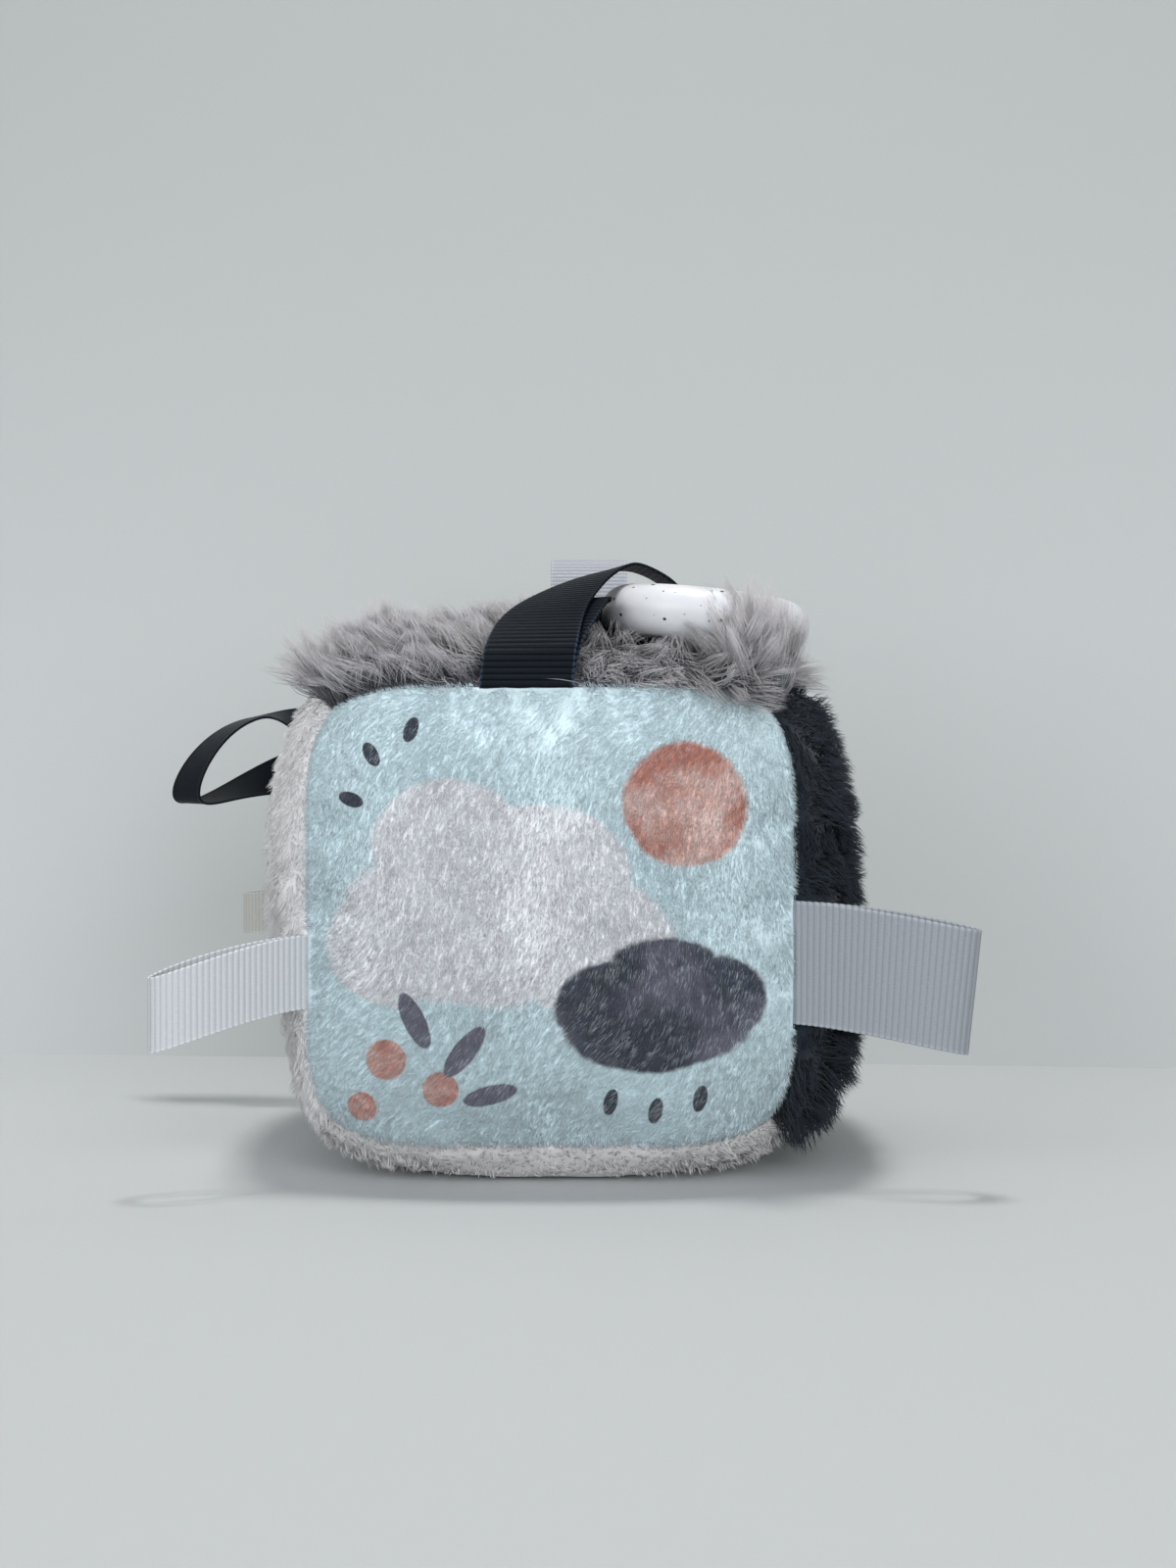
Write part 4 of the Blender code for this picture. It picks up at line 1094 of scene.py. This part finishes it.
def sew(piece, cad, material):
    """Dresses a ribbon in place of its CAD nodes and bakes its placing into its points."""
    dress(piece, material, body=None, nodes=(cad, cad + "_ends"))
    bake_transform(piece)


def folded_lines(name):
    """A tab's loose part as it lies when its joint is at the far end of its range."""
    tab = TABS[name]
    joint = JOINTS[tab.cad + "_flex"]
    pivot = np.array(joint["pos_m"])
    lines = RIBBON_LINES[name] - pivot
    loose = lines[lines @ np.array(tab.outward) > BLEND_REACH]
    turn = Matrix.Rotation(math.radians(joint["range_deg"][1]), 3, Vector(joint["axis"]))
    return loose @ np.array(turn).T + pivot


def eased(part):
    """Eases a share from 0 to 1."""
    part = max(0, min(1, part))
    return part * part * (3 - 2 * part)


def side_loop_stations(hinge, along, outward, reach, width, gap):
    """The long loop: it leaves the seam on edge and twists until it stands open to the front."""
    across = reach.cross(along)
    stations = []
    for k in range(LOOP_STEPS + 1):
        turn = math.tau * k / LOOP_STEPS
        part = (1 - math.cos(turn)) / 2
        twist = math.pi / 2 * eased(part / (1.0 if turn < math.pi else LOOP_HOME_SHARE))
        lean = math.radians(LOOP_LEAN) * part
        forward = -across * math.cos(lean) - reach * math.sin(lean)
        height = LOOP_RISE * 4 * part * (1 - part) - LOOP_DROP * part ** 2.5
        height -= LOOP_OPENING * math.sin(turn) * part ** 0.5
        sideways = gap * math.cos(turn / 2) + LOOP_SIDEWAYS * max(0, math.sin(turn)) * (1 - part)
        centre = reach * (LOOP_REACH * part) + along * height + across * sideways
        stations.append((hinge + centre, forward * math.sin(twist) - along * math.cos(twist), width / 2))
    return sewn_in(stations, hinge, outward, across * gap, -along, width)


# The ring ribbon's way: shares of the rise across, back and up, then of the loop's radius upwards and inwards
OUTWARD_SHARES = (
    (0.05, -0.02, 0.45, 0, 0), (0.18, 0.34, 0.90, 0, 0), (0.44, 0.74, 1, 0.40, 0), (0.76, 0.97, 1, 0.78, 0),
    (1, 1, 1, 0.88, 0.12), (1, 1, 1, 0.55, 0.88), (1, 1, 1, -0.05, 1.09), (1, 1, 1, -0.60, 0.62),
)
# Round the underside of the ring's tube, as shares of the way out, up and along the tube
UNDER_SHARES = ((0.16, -1, 0), (0.74, -0.69, 0.12), (1.10, -0.24, 0.42))
HOMEWARD_SHARES = ((0.63, 0.78, 1.08), (0.43, 0.52, 1.04), (0.12, 0.15, 0.54))


def curve_through(points, steps):
    """Points on a smooth curve through the given ones."""
    padded = [points[0] * 2 - points[1], *points, points[-1] * 2 - points[-2]]
    line = []
    for k in range(steps + 1):
        at = (len(points) - 1) * k / steps
        n = min(int(at), len(points) - 2)
        t = at - n
        a, b, c, d = padded[n:n + 4]
        bend = (a * 2 - b * 5 + c * 4 - d) * t ** 2 + (b * 3 - a - c * 3 + d) * t ** 3
        line.append((b * 2 + (c - a) * t + bend) / 2)
    return line


def ring_ribbon_stations(hinge, outward, width, ring, gap):
    """The ribbon's way from the seam, over the ring's tube, down through the ring and back under the tube."""
    held, out, up, _ = ring_frame()
    tangent = up.cross(out)
    rise = held - hinge
    sewn = RIGHT.cross(Matrix.Rotation(math.radians(RING_RIBBON_SWING), 3, RIGHT) @ outward) * gap
    hole = ring.radius - ring.tube
    gathered = min(width / 2, GATHERED_SHARE * hole)
    radius = ring.radius - math.sqrt(hole ** 2 - gathered ** 2) + OVER_GAP
    points = [sewn]
    for x, y, z, upwards, inwards in OUTWARD_SHARES:
        points.append(Vector((rise.x * x, rise.y * y, rise.z * z)) + (up * upwards - out * inwards) * radius)
    for x, y, z in UNDER_SHARES:
        points.append(rise + (out * x + up * y + tangent * z) * (ring.tube + UNDER_GAP))
    points += [Vector((rise.x * x, rise.y * y, rise.z * z)) for x, y, z in HOMEWARD_SHARES]
    points.append(-sewn)
    stations = []
    for k, centre in enumerate(curve_through(points, RING_RIBBON_STEPS)):
        part = k / RING_RIBBON_STEPS
        held_part = eased(part / TURN_THERE) * eased((1 - part) / TURN_BACK)
        half = width / 2 * (1 - held_part) + gathered * held_part
        stations.append((hinge + centre, RIGHT.slerp(tangent, held_part), half))
    return sewn_in(stations, hinge, outward, sewn, RIGHT, width)


# Operators


class SOFTBLOCK_OT_cover(bpy.types.Operator):
    """Sews the cover, lets it settle and cuts it into its panels round the filling"""

    bl_idname = "softblock.cover"
    bl_label = "Cover and filling"

    def execute(self, context):
        sizes = context.scene.soft_block_cover
        cover, grids = make_cover(sizes)
        settle(cover, grids, sizes)
        points = points_of(cover.data)
        centre = np.array((0, 0, sizes.lift + sizes.height / 2))
        inset = 1 - sizes.cloth / (sizes.width / 2)
        grounds = cloth_grounds(context.scene.soft_block_colours)
        for name, panel in PANELS.items():
            outside = points[grids[name]]
            SURFACES[name] = outside
            piece = shell(name + "_cloth", outside, centre + (outside - centre) * inset)
            subdivide(piece)
            dress(piece, cloth_material(name + " cloth", grounds[panel.slot]), nodes=(name,))
        cover.name = "fibre_filling"
        cover.vertex_groups.clear()
        set_points(cover.data, centre + (points - centre) * (1 - FILLING_INSET_SHARE))
        cover.data.shade_smooth()
        dress(cover, cloth_material("fibre filling", FILLING_COLOUR), nodes=("stuffing",))
        return {"FINISHED"}


class SOFTBLOCK_OT_pile(bpy.types.Operator):
    """Grows the short pile on five panels"""

    bl_idname = "softblock.pile"
    bl_label = "Plush pile"

    def execute(self, context):
        grounds = cloth_grounds(context.scene.soft_block_colours)
        for name, look in PILE_LOOKS.items():
            slot = PANELS[name].slot
            material = pile_material(name + " pile", grounds[slot], *look)
            for piece in grow_pile(name):
                dress(piece, material)
        return {"FINISHED"}


class SOFTBLOCK_OT_fur(bpy.types.Operator):
    """Grows the long fur on the top panel"""

    bl_idname = "softblock.fur"
    bl_label = "Top fur"

    def execute(self, context):
        colours = context.scene.soft_block_colours
        material = pile_material("grey fur", lambda tree, vector: fur_colour(tree, colours), *FUR_LOOK)
        obstacles = np.concatenate([RIBBON_LINES[name] for name in ("black_ring_ribbon", "grey_top_ribbon")])
        for piece in grow_fur(obstacles, context.scene.soft_block_ring):
            dress(piece, material)
        return {"FINISHED"}


class SOFTBLOCK_OT_tabs(bpy.types.Operator):
    """Folds the four short tabs into their seams"""

    bl_idname = "softblock.tabs"
    bl_label = "Ribbon tabs"

    def execute(self, context):
        sizes, colours = context.scene.soft_block_ribbons, context.scene.soft_block_colours
        for name, tab in TABS.items():
            hinge = Vector(JOINTS[tab.cad + "_flex"]["pos_m"])
            reach = Matrix.Rotation(math.radians(tab.swing), 3, tab.along) @ tab.outward
            width = getattr(sizes, tab.width)
            stations = tab_stations(tab, hinge, reach, width, sizes.thickness / 2 + tab.rib)
            piece, run = ribbon_piece(
                name, stations, sizes.thickness, tab.pitch, tab.rib, reach.cross(tab.along))
            material = ribbon_material(
                name.replace("_", " "), getattr(colours, tab.colour), tab.pitch, width / 2, *TAB_LOOK)
            sew(piece, tab.cad, material)
        # The deep dark pile leaves room for the silver tab as it folds back
        RIBBON_LINES["silver_ribbon_folded"] = folded_lines("silver_ribbon")
        return {"FINISHED"}


class SOFTBLOCK_OT_side_loop(bpy.types.Operator):
    """Twists the long black loop out of the back left seam"""

    bl_idname = "softblock.side_loop"
    bl_label = "Side loop"

    def execute(self, context):
        sizes, colours = context.scene.soft_block_ribbons, context.scene.soft_block_colours
        hinge = Vector(JOINTS["side_loop_flex"]["pos_m"])
        outward = (REARWARD - RIGHT).normalized()
        reach = Matrix.Rotation(math.radians(LOOP_SWING), 3, UP) @ outward
        gap = sizes.thickness / 2 + SATIN_RIB
        stations = side_loop_stations(hinge, UP, outward, reach, sizes.side_width, gap)
        piece, run = ribbon_piece("black_side_ribbon", stations, sizes.thickness, 0, 0, reach.cross(UP))
        material = satin_material("black satin", colours.black)
        sew(piece, "black_side_loop",
            material)
        return {"FINISHED"}


class SOFTBLOCK_OT_ring_ribbon(bpy.types.Operator):
    """Lays the black ribbon from the front seam round the ring and back"""

    bl_idname = "softblock.ring_ribbon"
    bl_label = "Ring ribbon"

    def execute(self, context):
        sizes, colours = context.scene.soft_block_ribbons, context.scene.soft_block_colours
        hinge = Vector(JOINTS["ring_loop_flex"]["pos_m"])
        outward = (UP - REARWARD).normalized()
        stations = ring_ribbon_stations(
            hinge, outward, sizes.ring_width, context.scene.soft_block_ring, sizes.thickness / 2 + RING_RIB)
        piece, run = ribbon_piece(
            "black_ring_ribbon", stations, sizes.thickness, RING_RIB_PITCH, RING_RIB, RIGHT.cross(outward))
        material = ribbon_material(
            "black grosgrain", colours.black, RING_RIB_PITCH, sizes.ring_width / 2, *RING_RIBBON_LOOK)
        sew(piece, "black_ring_loop", material)
        return {"FINISHED"}


class SOFTBLOCK_OT_ring(bpy.types.Operator):
    """Moulds the speckled ring"""

    bl_idname = "softblock.ring"
    bl_label = "Ring"

    def execute(self, context):
        sizes = context.scene.soft_block_ring
        _, _, up, middle = ring_frame()
        deselect()
        bpy.ops.mesh.primitive_torus_add(
            major_segments=RING_SEGMENTS, minor_segments=TUBE_SEGMENTS, major_radius=sizes.radius,
            minor_radius=sizes.tube, location=middle, rotation=up.to_track_quat("Z", "Y").to_euler())
        ring = bpy.context.object
        ring.name = "ring"
        points = points_of(ring.data)
        reach = np.hypot(points[:, 0], points[:, 1])
        radial = points[:, :2] / reach[:, None]
        turn = np.arctan2(points[:, 1], points[:, 0]) * sizes.radius
        round_tube = np.arctan2(points[:, 2], reach - sizes.radius) * sizes.tube
        weave = np.stack((turn, round_tube, turn * 0), 1)
        ring.data.attributes.new("weave", "FLOAT_VECTOR", "POINT").data.foreach_set("vector", weave.ravel())
        line = np.exp(-(points[:, 2] / MOULD_LINE_WIDTH) ** 2) * sizes.mould_line
        line *= np.sign(reach - sizes.radius)
        points[:, :2] += radial * line[:, None]
        set_points(ring.data, points)
        bpy.ops.object.transform_apply(location=True, rotation=True, scale=True)
        ring.data.shade_smooth()
        dress(ring, ring_material(context.scene.soft_block_colours), body="ring",
              nodes=("speckled_ring",))
        return {"FINISHED"}


def stage_material(name, ground, painted_light_share, start, end):
    """A plain stage colour with painted light and shade: it changes slowly along the surface, to a share of
    itself.
    """
    material, tree, shader = new_material(name, roughness=0.9)
    along = add_node(tree, "ShaderNodeSeparateXYZ", {0: object_coordinates(tree)}).outputs[1]
    far = rgb([painted_light_share * channel for channel in ground])
    base = blend_colours(tree, map_range(tree, along, start, end), rgb(ground), far)
    tree.links.new(base, shader["Base Color"])
    return material


def clear_behind(material):
    """Lets a view from the back through a stage surface."""
    tree = material.node_tree
    shader = tree.nodes["Principled BSDF"]
    behind = add_node(tree, "ShaderNodeNewGeometry").outputs["Backfacing"]
    clear = add_node(tree, "ShaderNodeBsdfTransparent")
    mixed = add_node(tree, "ShaderNodeMixShader", {0: behind, 1: shader.outputs[0], 2: clear.outputs[0]})
    tree.links.new(mixed.outputs[0], tree.nodes["Material Output"].inputs["Surface"])


def stage_plane(material, **placing):
    """A large plane of the stage, named like its material."""
    bpy.ops.mesh.primitive_plane_add(size=STAGE_SIZE, **placing)
    plane = bpy.context.object
    plane.name = material.name
    plane.data.materials.append(material)
    return plane


class SOFTBLOCK_OT_stage(bpy.types.Operator):
    """Sets the floor, the wall, the lamps and the camera"""

    bl_idname = "softblock.stage"
    bl_label = "Stage"

    def execute(self, context):
        colours = context.scene.soft_block_colours
        deselect()
        # Painted light: the floor is a little lighter towards the wall
        floor = stage_plane(
            stage_material("floor", colours.floor, 1.06, -0.35, 0.1), location=(0, 0, FLOOR_LEVEL))
        # Painted shade: the wall is darker towards the top
        wall = stage_plane(
            stage_material("wall", colours.wall, 0.66, 0, 0.4), location=WALL_PLACE,
            rotation=(math.radians(90), 0, math.radians(WALL_TURN)))
        clear_behind(wall.data.materials[0])
        world = context.scene.world or bpy.data.worlds.new("World")
        context.scene.world = world
        world.use_nodes = True
        background = world.node_tree.nodes["Background"].inputs
        background["Color"].default_value = SKY_COLOUR
        background["Strength"].default_value = SKY_STRENGTH
        for name, (place, size, power, tint) in LAMPS.items():
            bpy.ops.object.light_add(type="AREA", location=place)
            lamp = context.object
            lamp.name = name
            lamp.rotation_euler = (LAMP_AIM - Vector(place)).to_track_quat("-Z", "Y").to_euler()
            lamp.data.size, lamp.data.energy, lamp.data.color = size, power, tint
        bpy.ops.object.camera_add(location=CAMERA_PLACE, rotation=(math.radians(90 - CAMERA_DIP), 0, 0))
        camera = context.object
        camera.data.lens, camera.data.sensor_width = CAMERA_LENS, CAMERA_SENSOR
        camera.data.clip_start = 0.01
        context.scene.camera = camera
        context.scene.view_settings.view_transform = "Standard"
        return {"FINISHED"}


class SOFTBLOCK_PT_steps(bpy.types.Panel):
    """The block's building steps"""

    bl_label = "Soft Block"
    bl_category = "Soft Block"
    bl_space_type = "VIEW_3D"
    bl_region_type = "UI"

    def draw(self, context):
        for operator in OPERATORS:
            self.layout.operator(operator.bl_idname)
        for _, key in SETTINGS:
            settings = getattr(context.scene, key)
            box = self.layout.box()
            for name in settings.bl_rna.properties.keys():
                if name not in ("rna_type", "name"):
                    box.prop(settings, name)


SETTINGS = (
    (CoverSizes, "soft_block_cover"),
    (RibbonSizes, "soft_block_ribbons"),
    (RingSizes, "soft_block_ring"),
    (BlockColours, "soft_block_colours"),
)
OPERATORS = (
    SOFTBLOCK_OT_stage,
    SOFTBLOCK_OT_cover,
    SOFTBLOCK_OT_tabs,
    SOFTBLOCK_OT_side_loop,
    SOFTBLOCK_OT_ring,
    SOFTBLOCK_OT_ring_ribbon,
    SOFTBLOCK_OT_pile,
    SOFTBLOCK_OT_fur,
)


def register():
    for group, key in SETTINGS:
        bpy.utils.register_class(group)
        setattr(bpy.types.Scene, key, PointerProperty(type=group))
    for operator in OPERATORS:
        bpy.utils.register_class(operator)
    bpy.utils.register_class(SOFTBLOCK_PT_steps)


def unregister():
    bpy.utils.unregister_class(SOFTBLOCK_PT_steps)
    for operator in reversed(OPERATORS):
        bpy.utils.unregister_class(operator)
    for group, key in reversed(SETTINGS):
        delattr(bpy.types.Scene, key)
        bpy.utils.unregister_class(group)


def main():
    register()
    build_groups()
    for operator in OPERATORS:
        family, name = operator.bl_idname.split(".")
        getattr(getattr(bpy.ops, family), name)()
    deselect()


if __name__ == "__main__":
    main()
